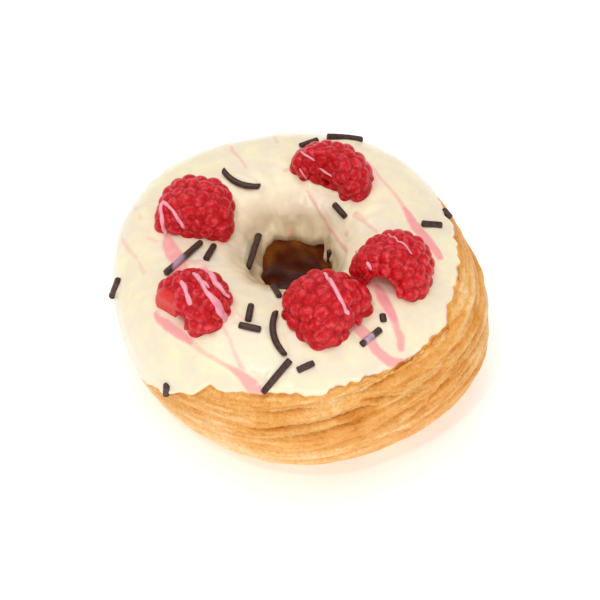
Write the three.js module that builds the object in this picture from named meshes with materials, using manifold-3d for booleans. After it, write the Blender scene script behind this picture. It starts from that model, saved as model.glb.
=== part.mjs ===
// A croissant doughnut: a laminated ring under white icing, topped with five raspberry halves,
// chocolate sprinkles and pink drizzle. Millimetres, +Z up, front towards -Y. The origin is the
// middle of the whole footprint, on the surface that the ring stands on.
import * as THREE from "three";
import { mergeVertices } from "three/addons/utils/BufferGeometryUtils.js";
import Module from "manifold-3d";

const wasm = await Module();
wasm.setup();

const { degToRad, radToDeg, euclideanModulo, lerp, smoothstep } = THREE.MathUtils;

// ---- Driving dimensions of the ring ----
const RING_RADIUS = 48.5; // from the middle of the hole to the crust, on average
const HOLE_RADIUS = 10; // at mid height
const RING_HEIGHT = 41; // up to the top of the icing
const FOOT_CUT = 0.8; // what the flat foot takes off the rounded section
const SQUARENESS = 2.6; // of the section: 2 is an ellipse, more is squarer
const LEAN = new THREE.Vector2(-4.5, -0.7); // how far the top has slid over the foot
// The ring isn't quite round: each swell is a number of waves with one crest at a turn in degrees
const SWELLS = [
  { waves: 2, swell: 0.7, at: 129 },
  { waves: 3, swell: 0.2, at: 208 },
  { waves: 4, swell: 0.9, at: 67 },
  { waves: 5, swell: 0.6, at: 61 },
];

// ---- Crust: the crevices between the leaves of dough, from the foot upwards ----
const CREVICES = [
  { height: 11, wander: 1.5, waves: 2, at: 318 },
  { height: 17.8, wander: 1.6, waves: 4, at: 320 },
  { height: 23.2, wander: 0.8, waves: 5, at: 283 },
  { height: 26.6, wander: 0.7, waves: 4, at: 285 },
  { height: 31.4, wander: 0.8, waves: 3, at: 262 },
];
const CREVICE_DEPTH = 1;
const LEAF_BULGE = 0.1;
const LEAF_STEP = 0.35; // how far neighbouring leaves stand out or back
const THINNEST_LEAF = 0.9;
const HOLE_RELIEF = 0.35;

// ---- Icing ----
const ICING_PROUD = 0.3; // outside the ring's mean skin
const ICING_THICKNESS = 1.5;
const LIP_THICKNESS = 0.9;
const GAP = 0.3; // between a piece and what carries it
// Height of the icing's outer and inner edge round the ring, as [turn in degrees, height]
const OUTER_EDGE = [
  [0, 38], [14, 36.5], [40, 32], [70, 29.5], [100, 31], [130, 27.5], [160, 23], [190, 17.5],
  [212, 15.5], [224, 21], [236, 27.5], [245, 33], [256, 34.3], [268, 35.4], [276, 34.5],
  [290, 35.5], [305, 35.3], [325, 36.6], [340, 38], [360, 38],
];
const INNER_EDGE = [
  [0, 25], [33, 25.8], [45, 29.8], [67, 27.7], [85, 28.3], [121, 30], [160, 27], [200, 26.5],
  [235, 28], [270, 26], [330, 27], [360, 25],
];

// ---- Toppings ----
const SPRINKLE_RADIUS = 0.85;
const SPRINKLE_SIDES = 6;
const SPRINKLE_SINK = 0.45; // how deep a sprinkle sits in the icing
const DRIZZLE_CROWN = 0.5;
const DRIZZLE_ROOT = 0.6;
// Each sprinkle from end to end over the icing, as [turn, tilt] in degrees, with the sideways bend
const SPRINKLES = [
  { from: [127, 89], to: [114, 113], bend: 1.9 },
  { from: [184, 107], to: [202, 78], bend: 0 },
  { from: [185, 115], to: [199, 107], bend: 0 },
  { from: [140, 142], to: [199, 139], bend: 0 },
  { from: [247, 137], to: [261, 117], bend: 0 },
  { from: [192, 46], to: [192, 27], bend: 0 },
  { from: [247, 103], to: [250, 89], bend: 0 },
  { from: [247, 84], to: [257, 85], bend: 0 },
  { from: [262, 101], to: [268, 68], bend: 1.6 },
  { from: [270, 66], to: [261, 44], bend: 0 },
  { from: [229, 22], to: [228, 9], bend: 0 },
  { from: [278, 63], to: [272, 59], bend: 0 },
  { from: [86, 79], to: [79, 70], bend: 0 },
  { from: [76, 65], to: [64, 53], bend: -0.6 },
  { from: [51, 121], to: [34, 121], bend: 0 },
  { from: [8, 77], to: [8, 63], bend: 0 },
  { from: [19, 53], to: [15, 50], bend: 0 },
  { from: [30, 148], to: [25, 158], bend: 0 },
  { from: [311, 78], to: [309, 73], bend: 0 },
  { from: [306, 70], to: [296, 66], bend: 0 },
];
// Each thick run of drizzle over the icing, as [turn, tilt] in degrees, with its width
const DRIZZLES = [
  { width: 2.8, path: [[188, 86], [202, 85]] },
  { width: 1.9, path: [[214, 55], [219, 51], [225, 53], [233, 57], [241, 57], [249, 54], [254, 51], [259, 46]] },
  { width: 1.4, path: [[244, 71], [248, 68], [252, 60], [254, 53]] },
  { width: 2, path: [[382, 82], [368, 81], [358, 76], [352, 67]] },
  { width: 2.1, path: [[300, 75], [300, 69], [300, 62], [301, 54], [303, 49], [306, 48]] },
  { width: 2.2, path: [[316, 81], [313, 72], [311, 63], [308, 56]] },
];

// ---- Raspberry halves, split lengthways and laid on the split face ----
const BERRY_ROOT = 3; // how far a half reaches below its seat before the icing is cut away
const CUTTER_DEPTH = 6; // of the icing's shape where it cuts a half
const CORE_SHARE = 0.9; // of the half's size, under the drupelets
const MOUTH_SHARE = 0.34; // of the length, from the widest place back to the mouth
const MOUTH_SQUARENESS = 5; // of the outline seen from above: the mouth's end is nearly straight
const DRUPELET_PITCH = 1.46; // between neighbours, in radii of a drupelet
const DRUPELET_INSET = 0.79; // of their centres inside the half's outline, in radii
const WANDER = 0.08; // of a drupelet from its ring, in radians
const HOLLOW = { start: 1.15, end: 0.5, depth: 0.75, middle: 0.3, rise: 0.1 };
// Each half: the middle of its seat on the ring, its length from mouth to tip, width and height, the
// heading and the squareness of its tip, the radius of its hollow and how far that lies aside, how
// far its mouth's end is drawn in, and the radius of a drupelet
const BERRIES = [
  { name: "berry_1", seat: [-26.6, 9.4], length: 18.5, width: 19.6, height: 9.4, heading: 86, tip: 2.8, hollow: 0, aside: 0, dent: 0, drupelet: 2.5 },
  { name: "berry_2", seat: [9.6, 23.7], length: 14.4, width: 22.5, height: 8.8, heading: 58, tip: 2, hollow: 1.3, aside: 0, dent: 2, drupelet: 2.5 },
  { name: "berry_3", seat: [24, -10.2], length: 19, width: 20, height: 9.8, heading: 64, tip: 2, hollow: 3.9, aside: 0, dent: 0, drupelet: 2.25 },
  { name: "berry_4", seat: [5.5, -24.2], length: 19.6, width: 20.5, height: 10.4, heading: 140, tip: 2.2, hollow: 1.6, aside: 0, dent: 0, drupelet: 2.5 },
  { name: "berry_5", seat: [-24.9, -21.3], length: 16.2, width: 19, height: 8, heading: 50, tip: 2, hollow: 2, aside: -1.1, dent: 0, drupelet: 2.4 },
];
const DENT_REACH = 0.225; // of the width, from the middle of the mouth's end
// A smooth cut face beside the hollow: no drupelets behind and beside these shares, and its depth
const BARE_FACE = { berry: "berry_5", forward: -0.35, side: 0.1, depth: 0.78 };

// ---- The ring's skin ----
const HALF_HEIGHT = (RING_HEIGHT + FOOT_CUT) / 2;
const MID_HEIGHT = RING_HEIGHT - HALF_HEIGHT;

const superellipse = (share) => Math.max(0, 1 - Math.abs(share) ** SQUARENESS) ** (1 / SQUARENESS);

function section(turn) {
  const crest = ({ waves, swell, at }) => swell * Math.cos(waves * (turn - degToRad(at)));
  const radius = SWELLS.reduce((sum, item) => sum + crest(item), RING_RADIUS);
  const halfWidth = (radius - HOLE_RADIUS) / 2;
  return { halfWidth, middle: HOLE_RADIUS + halfWidth };
}

// The turn goes round the ring from +X, and the tilt goes round its section, from 0 on the
// outside over 90 degrees on top to 180 in the hole. Proud is the distance outside the mean skin.
function skin(turn, tilt, proud = 0) {
  const { halfWidth, middle } = section(turn);
  const across = Math.abs(Math.cos(tilt) / halfWidth) ** SQUARENESS;
  const upward = Math.abs(Math.sin(tilt) / HALF_HEIGHT) ** SQUARENESS;
  const reach = (across + upward) ** (-1 / SQUARENESS) + proud;
  const out = middle + reach * Math.cos(tilt);
  const height = Math.max(0, MID_HEIGHT + reach * Math.sin(tilt));
  const slide = height / RING_HEIGHT - 0.5;
  return new THREE.Vector3(
    out * Math.cos(turn) + LEAN.x * slide,
    out * Math.sin(turn) + LEAN.y * slide,
    height,
  );
}

// The tilt at which the skin has a height, on the outside (side 1) or in the hole (side -1)
function tiltAt(turn, height, side) {
  const rise = height - MID_HEIGHT;
  const run = section(turn).halfWidth * superellipse(rise / HALF_HEIGHT);
  return Math.atan2(rise, side * run);
}

function skinNormal(turn, tilt) {
  const step = 0.01;
  const round = skin(turn + step, tilt).sub(skin(turn - step, tilt));
  const over = skin(turn, tilt + step).sub(skin(turn, tilt - step));
  return round.cross(over).normalize();
}

// The height of the icing's top over a point of the plan
function icingHeight(x, y) {
  const flatX = x - LEAN.x / 2;
  const flatY = y - LEAN.y / 2;
  const { halfWidth, middle } = section(Math.atan2(flatY, flatX));
  const share = (Math.hypot(flatX, flatY) - middle) / halfWidth;
  return MID_HEIGHT + HALF_HEIGHT * superellipse(share) + ICING_PROUD;
}

// A height that passes smoothly through [turn in degrees, height] pairs round the ring
function roundTheRing(turn, pairs) {
  const degrees = euclideanModulo(radToDeg(turn), 360);
  const next = pairs.findIndex(([at]) => at > degrees);
  const [fromTurn, from] = pairs[next - 1];
  const [toTurn, to] = pairs[next];
  return lerp(from, to, smoothstep(degrees, fromTurn, toTurn));
}

const outerEdgeTilt = (turn) => tiltAt(turn, roundTheRing(turn, OUTER_EDGE), 1);
const innerEdgeTilt = (turn) => tiltAt(turn, roundTheRing(turn, INNER_EDGE), -1);

// ---- Rings: lines that run round the ring, joined side by side into a closed skin ----
const COLUMNS = 64;

// Each line gives the tilt and proudness of the skin at a turn. The lines past the first topCount
// are an underside: its quads are split along the other diagonal, as those of the skin below are.
function ringOf(lines, topCount = lines.length) {
  const geometry = new THREE.TorusGeometry(2, 1, lines.length, COLUMNS);
  const position = geometry.attributes.position;
  for (let row = 0; row <= lines.length; row += 1) {
    for (let column = 0; column <= COLUMNS; column += 1) {
      const turn = ((column % COLUMNS) / COLUMNS) * 2 * Math.PI;
      const { tilt, proud } = lines[row % lines.length](turn);
      const point = skin(turn, tilt, proud);
      position.setXYZ(row * (COLUMNS + 1) + column, point.x, point.y, point.z);
    }
  }
  const corners = geometry.index.array;
  for (let quad = 6 * COLUMNS * topCount; quad < corners.length; quad += 6) {
    const [a, b, d, , c] = corners.slice(quad, quad + 5);
    corners.set([a, b, c, a, c, d], quad);
  }
  return geometry;
}

// Shares of the way over the iced top, from the outer edge to the inner one
const SEAT_SHARES = [0.12, 0.3, 0.5, 0.7, 0.88];
const TOP_SHARES = [0.03, 0.06, 0.13, 0.22, 0.32, 0.42, 0.52, 0.62, 0.72, 0.82, 0.93, 0.97];
const LIP_INSET = 0.02; // how far the lip keeps back from the bare dough
const LIP_SHARE = 0.15; // of the way, over which the icing thins to its lip

const nearEdge = (share) => 1 - smoothstep(Math.min(share, 1 - share), 0, LIP_SHARE);
const icedTilt = (turn, share) => lerp(outerEdgeTilt(turn), innerEdgeTilt(turn), share);
const seatProud = (share) =>
  ICING_PROUD - GAP - lerp(ICING_THICKNESS, LIP_THICKNESS, nearEdge(share));

const icedLine = (share, proud) => (turn) => ({ tilt: icedTilt(turn, share), proud });
const seatLines = (rise, inset) =>
  [inset, ...SEAT_SHARES, 1 - inset].map((share) => icedLine(share, seatProud(share) + rise));

// ---- Dough ----
// The leaves climb towards the front right, as the strip of dough was cut
const leafClimb = (turn) => 4 * Math.sin(turn - degToRad(268)) + 1.5 * Math.sin(2 * (turn - degToRad(270)));

// Heights of the leaves' borders at a turn: the foot, the crevices and the icing's edge
function leafBorders(turn) {
  const top = roundTheRing(turn, OUTER_EDGE);
  const borders = CREVICES.map(({ height, wander, waves, at }) => {
    const climb = leafClimb(turn) * smoothstep(height, 0, 20);
    return height + climb + wander * Math.cos(waves * (turn - degToRad(at)));
  });
  borders.push(top);
  for (let leaf = CREVICES.length - 1; leaf >= 0; leaf -= 1) {
    borders[leaf] = Math.min(borders[leaf], borders[leaf + 1] - THINNEST_LEAF);
  }
  return [0, ...borders];
}

// A line along a leaf, at a share of its height above its lower crevice
const leafLine = (leaf, share) => (turn) => {
  const borders = leafBorders(turn);
  const thickness = borders[leaf + 1] - borders[leaf];
  const fullness = smoothstep(thickness, 0, 3);
  const stand = LEAF_STEP * Math.cos((leaf + 2) * turn + 2.4 * leaf);
  const crag = 0.2 * Math.sin(13 * turn + 5 * leaf) * Math.sin(7 * turn - 9 * share);
  const bulge = share > 0 ? LEAF_BULGE + stand + crag : -CREVICE_DEPTH;
  const atFoot = leaf === 0 && share === 0;
  return {
    tilt: tiltAt(turn, borders[leaf] + share * thickness, 1),
    proud: atFoot ? 0 : bulge * fullness,
  };
};

// A line down the hole's wall, at a share of the way from the icing's edge to the foot
const holeLine = (share) => (turn) => ({
  tilt: tiltAt(turn, roundTheRing(turn, INNER_EDGE) * (1 - share), -1),
  proud: share < 1 ? -HOLE_RELIEF * Math.cos(5 * turn + 20 * share) : 0,
});

function doughGeometry() {
  const leafShares = [0, 0.3, 0.72];
  const holeShares = [0.15, 0.42, 0.72, 1];
  const leaves = [...CREVICES.keys(), CREVICES.length];
  const wall = leaves.flatMap((leaf) => leafShares.map((share) => leafLine(leaf, share)));
  return ringOf([...wall, ...seatLines(0, 0), ...holeShares.map(holeLine)]);
}

// ---- Solids: closed geometries joined and cut ----
function solid(geometry) {
  const bare = geometry.clone();
  bare.deleteAttribute("normal");
  bare.deleteAttribute("uv");
  const merged = mergeVertices(bare);
  return new wasm.Manifold(
    new wasm.Mesh({
      numProp: 3,
      vertProperties: new Float32Array(merged.attributes.position.array),
      triVerts: new Uint32Array(merged.index.array),
    }),
  );
}

function geometryOf(body) {
  const mesh = body.getMesh();
  const geometry = new THREE.BufferGeometry();
  geometry.setAttribute("position", new THREE.BufferAttribute(mesh.vertProperties, 3));
  geometry.setIndex(new THREE.BufferAttribute(mesh.triVerts, 1));
  geometry.computeVertexNormals();
  return geometry;
}

const joined = (bodies) => bodies.reduce((sum, body) => sum.add(body));

// ---- Icing with its sprinkles and drizzle ----
function icingShell(rise, underside) {
  const top = TOP_SHARES.map((share) => icedLine(share, ICING_PROUD + rise));
  return ringOf([...top, ...underside.reverse()], top.length);
}

function sprinkleGeometry({ from, to, bend }) {
  const ends = [from, to].map(([turn, tilt]) => [degToRad(turn), degToRad(tilt)]);
  const [turn, tilt] = [0, 1].map((axis) => (ends[0][axis] + ends[1][axis]) / 2);
  const [start, end] = ends.map(([endTurn, endTilt]) => skin(endTurn, endTilt, ICING_PROUD));
  const middle = skin(turn, tilt, ICING_PROUD);
  const along = end.clone().sub(start);
  const length = along.length();
  along.normalize();
  const up = skinNormal(turn, tilt);
  up.addScaledVector(along, -up.dot(along)).normalize();
  const across = along.clone().cross(up);

  const pieces = bend === 0 ? 1 : 3;
  const rod = new THREE.CylinderGeometry(SPRINKLE_RADIUS, SPRINKLE_RADIUS, length, SPRINKLE_SIDES, pieces);
  const position = rod.attributes.position;
  for (let index = 0; index < position.count; index += 1) {
    const share = (2 * position.getY(index)) / length;
    position.setX(index, position.getX(index) + bend * (1 - share ** 2));
  }
  // A straight sprinkle rests on the highest of its two ends and its middle
  const rest = Math.max(...[start, middle, end].map((point) => point.dot(up)));
  const centre = start.clone().add(end).multiplyScalar(0.5);
  centre.addScaledVector(up, rest + SPRINKLE_RADIUS - SPRINKLE_SINK - centre.dot(up));
  return rod.applyMatrix4(new THREE.Matrix4().makeBasis(across, along, up).setPosition(centre));
}

function drizzleGeometry({ path, width }) {
  const route = new THREE.SplineCurve(path.map(([turn, tilt]) => new THREE.Vector2(turn, tilt)));
  const onIcing = (share) => {
    const { x, y } = route.getPoint(share);
    return { turn: degToRad(x), tilt: degToRad(y), point: skin(degToRad(x), degToRad(y), ICING_PROUD) };
  };
  const strip = new THREE.BoxGeometry(1, 2, 2, 2 * (path.length - 1), 2, 1);
  const position = strip.attributes.position;
  for (let index = 0; index < position.count; index += 1) {
    const share = position.getX(index) + 0.5;
    const { turn, tilt, point } = onIcing(share);
    const ahead = onIcing(Math.min(1, share + 0.01)).point;
    const behind = onIcing(Math.max(0, share - 0.01)).point;
    const normal = skinNormal(turn, tilt);
    const side = normal.clone().cross(ahead.sub(behind)).normalize();
    const taper = lerp(0.35, 1, smoothstep(Math.min(share, 1 - share), 0, 0.12));
    const crown = DRIZZLE_CROWN * (1 - 0.75 * position.getY(index) ** 2);
    point.addScaledVector(side, (position.getY(index) * taper * width) / 2);
    point.addScaledVector(normal, position.getZ(index) > 0 ? crown : -DRIZZLE_ROOT);
    position.setXYZ(index, point.x, point.y, point.z);
  }
  return strip;
}

function icingGeometry() {
  const shell = solid(icingShell(0, seatLines(GAP, LIP_INSET)));
  const toppings = [...SPRINKLES.map(sprinkleGeometry), ...DRIZZLES.map(drizzleGeometry)];
  return geometryOf(joined([shell, ...toppings.map(solid)]));
}

// ---- Raspberry halves ----
const lengthways = (length, x) => length * (x > 0 ? 1 - MOUTH_SHARE : MOUTH_SHARE);

// How far out a direction meets a half of size one, squarer at its mouth than at its tip
function outline({ x, y, z }, tip) {
  const power = x < 0 ? MOUTH_SQUARENESS : tip;
  const across = (Math.abs(x) ** power + Math.abs(y) ** power) ** (1 / power);
  return 1 / Math.hypot(across, z);
}

// Drupelets sit in rings round the tip, each ring half a step on from the last
function drupeletCentres({ name, length, width, height, tip, drupelet }) {
  const halfWidth = width / 2;
  const inset = DRUPELET_INSET * drupelet;
  const pitch = DRUPELET_PITCH * drupelet;
  const girth = (halfWidth + height) / 2;
  const ringCount = Math.round((Math.PI * girth) / pitch);
  const centres = [];
  for (let ring = 0; ring <= ringCount; ring += 1) {
    const polar = (ring * pitch) / girth;
    const count = Math.max(1, Math.round((2 * Math.PI * Math.sin(polar) * girth) / pitch));
    for (let step = 0; step < count; step += 1) {
      const angle = ((step + 0.5 * (ring % 2)) / count) * 2 * Math.PI;
      const bearing = polar + WANDER * Math.sin(7 * ring + 11 * step);
      const out = new THREE.Vector3(
        Math.cos(bearing),
        Math.sin(bearing) * Math.cos(angle),
        Math.sin(bearing) * Math.sin(angle),
      );
      out.multiplyScalar(outline(out, tip));
      const bare = name === BARE_FACE.berry && out.x < BARE_FACE.forward && out.y > BARE_FACE.side;
      const inner = new THREE.Vector3(lengthways(length, out.x), halfWidth, height).subScalar(inset);
      if (!bare) centres.push(out.multiply(inner));
    }
  }
  return centres;
}

// The cut face is flat, and the middle of the mouth's end is drawn in
function trimMouth(point, { name, length, width, dent }) {
  const mouth = MOUTH_SHARE * length;
  if (name === BARE_FACE.berry && point.y > 0) point.x = Math.max(point.x, -BARE_FACE.depth * mouth);
  const share = smoothstep(-point.x / mouth, 0.1, 1);
  point.x += dent * share * Math.exp(-((point.y / (DENT_REACH * width)) ** 2));
}

// The half's skin is the outermost drupelet or the core in each direction from its seat
function berryDome(berry) {
  const dome = new THREE.IcosahedronGeometry(1, 7);
  const centres = drupeletCentres(berry);
  const position = dome.attributes.position;
  const core = new THREE.Vector3();
  const ray = new THREE.Vector3();
  for (let index = 0; index < position.count; index += 1) {
    ray.fromBufferAttribute(position, index).normalize();
    core.set(lengthways(berry.length, ray.x), berry.width / 2, berry.height).multiplyScalar(CORE_SHARE);
    core.set(ray.x / core.x, ray.y / core.y, ray.z / core.z);
    let reach = outline(core, berry.tip);
    for (const centre of centres) {
      const along = ray.dot(centre);
      const inside = along ** 2 - centre.lengthSq() + berry.drupelet ** 2;
      reach = inside > 0 ? Math.max(reach, along + Math.sqrt(inside)) : reach;
    }
    if (ray.z < 0) reach = Math.min(reach, -BERRY_ROOT / ray.z);
    trimMouth(ray.multiplyScalar(reach), berry);
    position.setXYZ(index, ray.x, ray.y, ray.z);
  }
  return dome;
}

function berryGeometry(berry, icingCutter) {
  const { length, height } = berry;
  const mouth = MOUTH_SHARE * length;
  let half = solid(berryDome(berry));
  if (berry.hollow > 0) {
    const [start, end] = [HOLLOW.start * berry.hollow, HOLLOW.end * berry.hollow];
    const hollow = new THREE.CylinderGeometry(end, start, HOLLOW.depth * length, 12);
    hollow.rotateZ(-Math.PI / 2);
    hollow.translate(HOLLOW.middle * length - mouth, berry.aside, HOLLOW.rise * height);
    half = half.subtract(solid(hollow));
  }
  const [x, y] = berry.seat;
  const laid = geometryOf(half);
  laid.translate(mouth - length / 2, 0, 0);
  laid.rotateZ(degToRad(berry.heading));
  laid.translate(x, y, icingHeight(x, y));
  return geometryOf(solid(laid).subtract(icingCutter));
}

// ---- The part ----
function piece(name, geometry, color, roughness) {
  const mesh = new THREE.Mesh(geometry, new THREE.MeshStandardMaterial({ color, roughness, metalness: 0 }));
  mesh.name = name;
  return mesh;
}

const cutterFloor = [0, ...SEAT_SHARES, 1].map((share) => icedLine(share, -CUTTER_DEPTH));
const icingCutter = solid(icingShell(GAP, cutterFloor));

const doughnut = new THREE.Group();
doughnut.add(piece("dough", doughGeometry(), 0xe3a565, 0.6));
doughnut.add(piece("icing", icingGeometry(), 0xfaf1d6, 0.3));
for (const berry of BERRIES) {
  doughnut.add(piece(berry.name, berryGeometry(berry, icingCutter), 0xc8283c, 0.35));
}

// Stand the middle of the whole footprint on the origin
const box = new THREE.Box3().setFromObject(doughnut);
doughnut.position.set(-(box.min.x + box.max.x) / 2, -(box.min.y + box.max.y) / 2, -box.min.z);

export default doughnut;
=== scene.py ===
"""A croissant doughnut: a ring of laminated dough under white icing, with raspberry halves,
chocolate sprinkles and pink drizzle. Shapes are worked out in millimetres and stored in metres."""

import math
from typing import NamedTuple

import bmesh
import bpy
import numpy as np
from bpy.props import FloatProperty, FloatVectorProperty, PointerProperty
from mathutils import Matrix, Vector, noise
from mathutils.bvhtree import BVHTree


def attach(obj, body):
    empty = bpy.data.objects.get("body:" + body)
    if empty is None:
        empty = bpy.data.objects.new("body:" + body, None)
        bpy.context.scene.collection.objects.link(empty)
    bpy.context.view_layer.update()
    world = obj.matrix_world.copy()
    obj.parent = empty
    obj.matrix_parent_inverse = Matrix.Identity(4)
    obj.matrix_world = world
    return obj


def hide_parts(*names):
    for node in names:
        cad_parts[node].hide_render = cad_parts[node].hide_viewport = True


bl_info = {
    "name": "Croissant doughnut",
    "version": (1, 0, 0),
    "blender": (4, 5, 0),
    "location": "View3D > Sidebar > Pastry",
    "description": "Makes a laminated doughnut with icing, raspberry halves, sprinkles and drizzle",
    "category": "Add Mesh",
}

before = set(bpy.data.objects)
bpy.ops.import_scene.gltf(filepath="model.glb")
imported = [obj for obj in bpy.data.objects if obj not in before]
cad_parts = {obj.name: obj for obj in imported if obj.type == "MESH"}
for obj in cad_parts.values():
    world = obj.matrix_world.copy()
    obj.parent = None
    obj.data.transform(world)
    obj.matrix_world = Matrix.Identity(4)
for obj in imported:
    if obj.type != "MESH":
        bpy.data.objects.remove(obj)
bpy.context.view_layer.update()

MM = 0.001  # metres
BODY = "root"

# ---- The ring's form, in millimetres ----
HOLE_AXIS = (-0.51, 0.16)  # where the axis of the hole stands in the frame
RING_RADIUS = 48.5
HOLE_RADIUS = 10.0
RING_HEIGHT = 41.0
FOOT_CUT = 0.8  # what the flat foot takes off the rounded section
SQUARENESS = 2.6  # of the section: 2 is an ellipse, more is squarer
LEAN = (-4.5, -0.7)  # how far the top has slid over the foot
HALF_HEIGHT = (RING_HEIGHT + FOOT_CUT) / 2
MID_HEIGHT = RING_HEIGHT - HALF_HEIGHT
SWELLS = [(2, 0.7, 129), (3, 0.2, 208), (4, 0.9, 67), (5, 0.6, 61)]  # waves, swell, turn of a crest

# Crevices between the leaves of dough: height, wander, waves, turn of a crest
CREVICES = [
    (11, 1.5, 2, 318), (17.8, 1.6, 4, 320), (23.2, 0.8, 5, 283), (26.6, 0.7, 4, 285),
    (31.4, 0.8, 3, 262),
]
LEAF_BULGE = 0.1
LEAF_STEP = 0.35
THINNEST_LEAF = 0.9
HOLE_RELIEF = 0.35
# Tears in the front of the crust, as (turn, height) along each, with depth and half width
TEARS = [
    ([(252, 23.8), (256, 24.3), (262, 25.8), (268, 27.7), (276, 28.3), (282, 29), (289, 29.6),
      (297, 28.4)], 1.0, 0.55),
    ([(257, 30.4), (259, 30.8), (266, 31.8), (271, 32.5), (282, 32.9), (289, 33.3)], 0.5, 0.45),
    ([(257, 20.8), (260, 21.7), (265, 23.1), (272, 24.3), (281, 25.8), (287, 26)], 0.5, 0.5),
    ([(288, 31.2), (292, 31.4), (302, 29), (307, 28.3), (316, 28.3), (322, 30.6)], 0.9, 0.5),
    ([(299, 27.6), (305, 27), (310, 26.8), (314, 26.2)], 0.7, 0.45),
    ([(302, 16.6), (303, 17.6), (307, 20.5), (312, 22.6), (316, 23.6), (322, 24.2)], 1.1, 0.5),
    ([(287, 33.4), (294, 34), (299, 34.5), (306, 34.9)], 0.6, 0.4),
    ([(291, 14), (297, 16.6), (303, 20), (309, 22.6)], 0.6, 0.45),
    ([(312, 15), (318, 18.8), (325, 21.4), (334, 23)], 0.8, 0.45),
    ([(318, 26), (330, 28), (344, 29.2), (356, 29.6)], 0.8, 0.45),
    ([(326, 32.2), (338, 33.4), (350, 33.8), (359, 33.4)], 0.7, 0.4),
]

# Ragged leaves that stand up over the icing's edge, as (turn, height)
BORDER_FLAKES = [
    [(280, 34.8), (283, 35.0), (286, 35.4)], [(291, 35.3), (294, 35.3), (297, 35.0)],
    [(302, 34.4), (308, 34.6), (314, 35.0)], [(318, 35.2), (322, 35.5)], [(344, 37.6), (351, 37.9)],
]

# ---- Icing ----
# Height of the icing's outer and inner edge round the ring, as (turn in degrees, height)
OUTER_EDGE = [
    (0, 38), (14, 36.5), (40, 32), (70, 29.5), (100, 31), (130, 27.5), (160, 23), (190, 17.5),
    (212, 15.5), (224, 21), (236, 27.5), (245, 33), (256, 34.3), (268, 35.4), (276, 34.5),
    (290, 35.5), (305, 35.3), (325, 36.6), (340, 38), (360, 38),
]
INNER_EDGE = [
    (0, 25), (33, 25.8), (45, 29.8), (67, 27.7), (85, 28.3), (121, 30), (160, 27), (200, 26.5),
    (235, 28), (270, 26), (330, 27), (360, 25),
]
ICING_PROUD = 0.3  # outside the ring's mean skin

# ---- Toppings ----
SPRINKLE_SIDES = 14
SPRINKLE_RIM = 0.35  # of the radius, rounded off at the ends
SPRINKLE_STEP = 0.5  # between the rings of a sprinkle's mesh
SPRINKLE_TOP = 0.8  # height of a sprinkle's middle over the icing
# Each sprinkle from end to end over the icing, as (turn, tilt) in degrees, with the sideways bend
SPRINKLES = [
    ((127, 89), (114, 113), 1.9), ((184, 107), (202, 78), 0), ((185, 115), (199, 107), 0),
    ((140, 142), (199, 139), 0), ((247, 137), (261, 117), 0), ((192, 46), (192, 27), 0),
    ((247, 103), (250, 89), 0), ((247, 84), (257, 85), 0), ((262, 101), (268, 68), 1.6),
    ((270, 66), (261, 44), 0), ((229, 22), (228, 9), 0), ((278, 63), (272, 59), 0),
    ((86, 79), (79, 70), 0), ((76, 65), (64, 53), -0.6), ((51, 121), (34, 121), 0),
    ((8, 77), (8, 63), 0), ((19, 53), (15, 50), 0), ((30, 148), (25, 158), 0),
    ((311, 78), (309, 73), 0), ((306, 70), (296, 66), 0),
]
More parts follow.
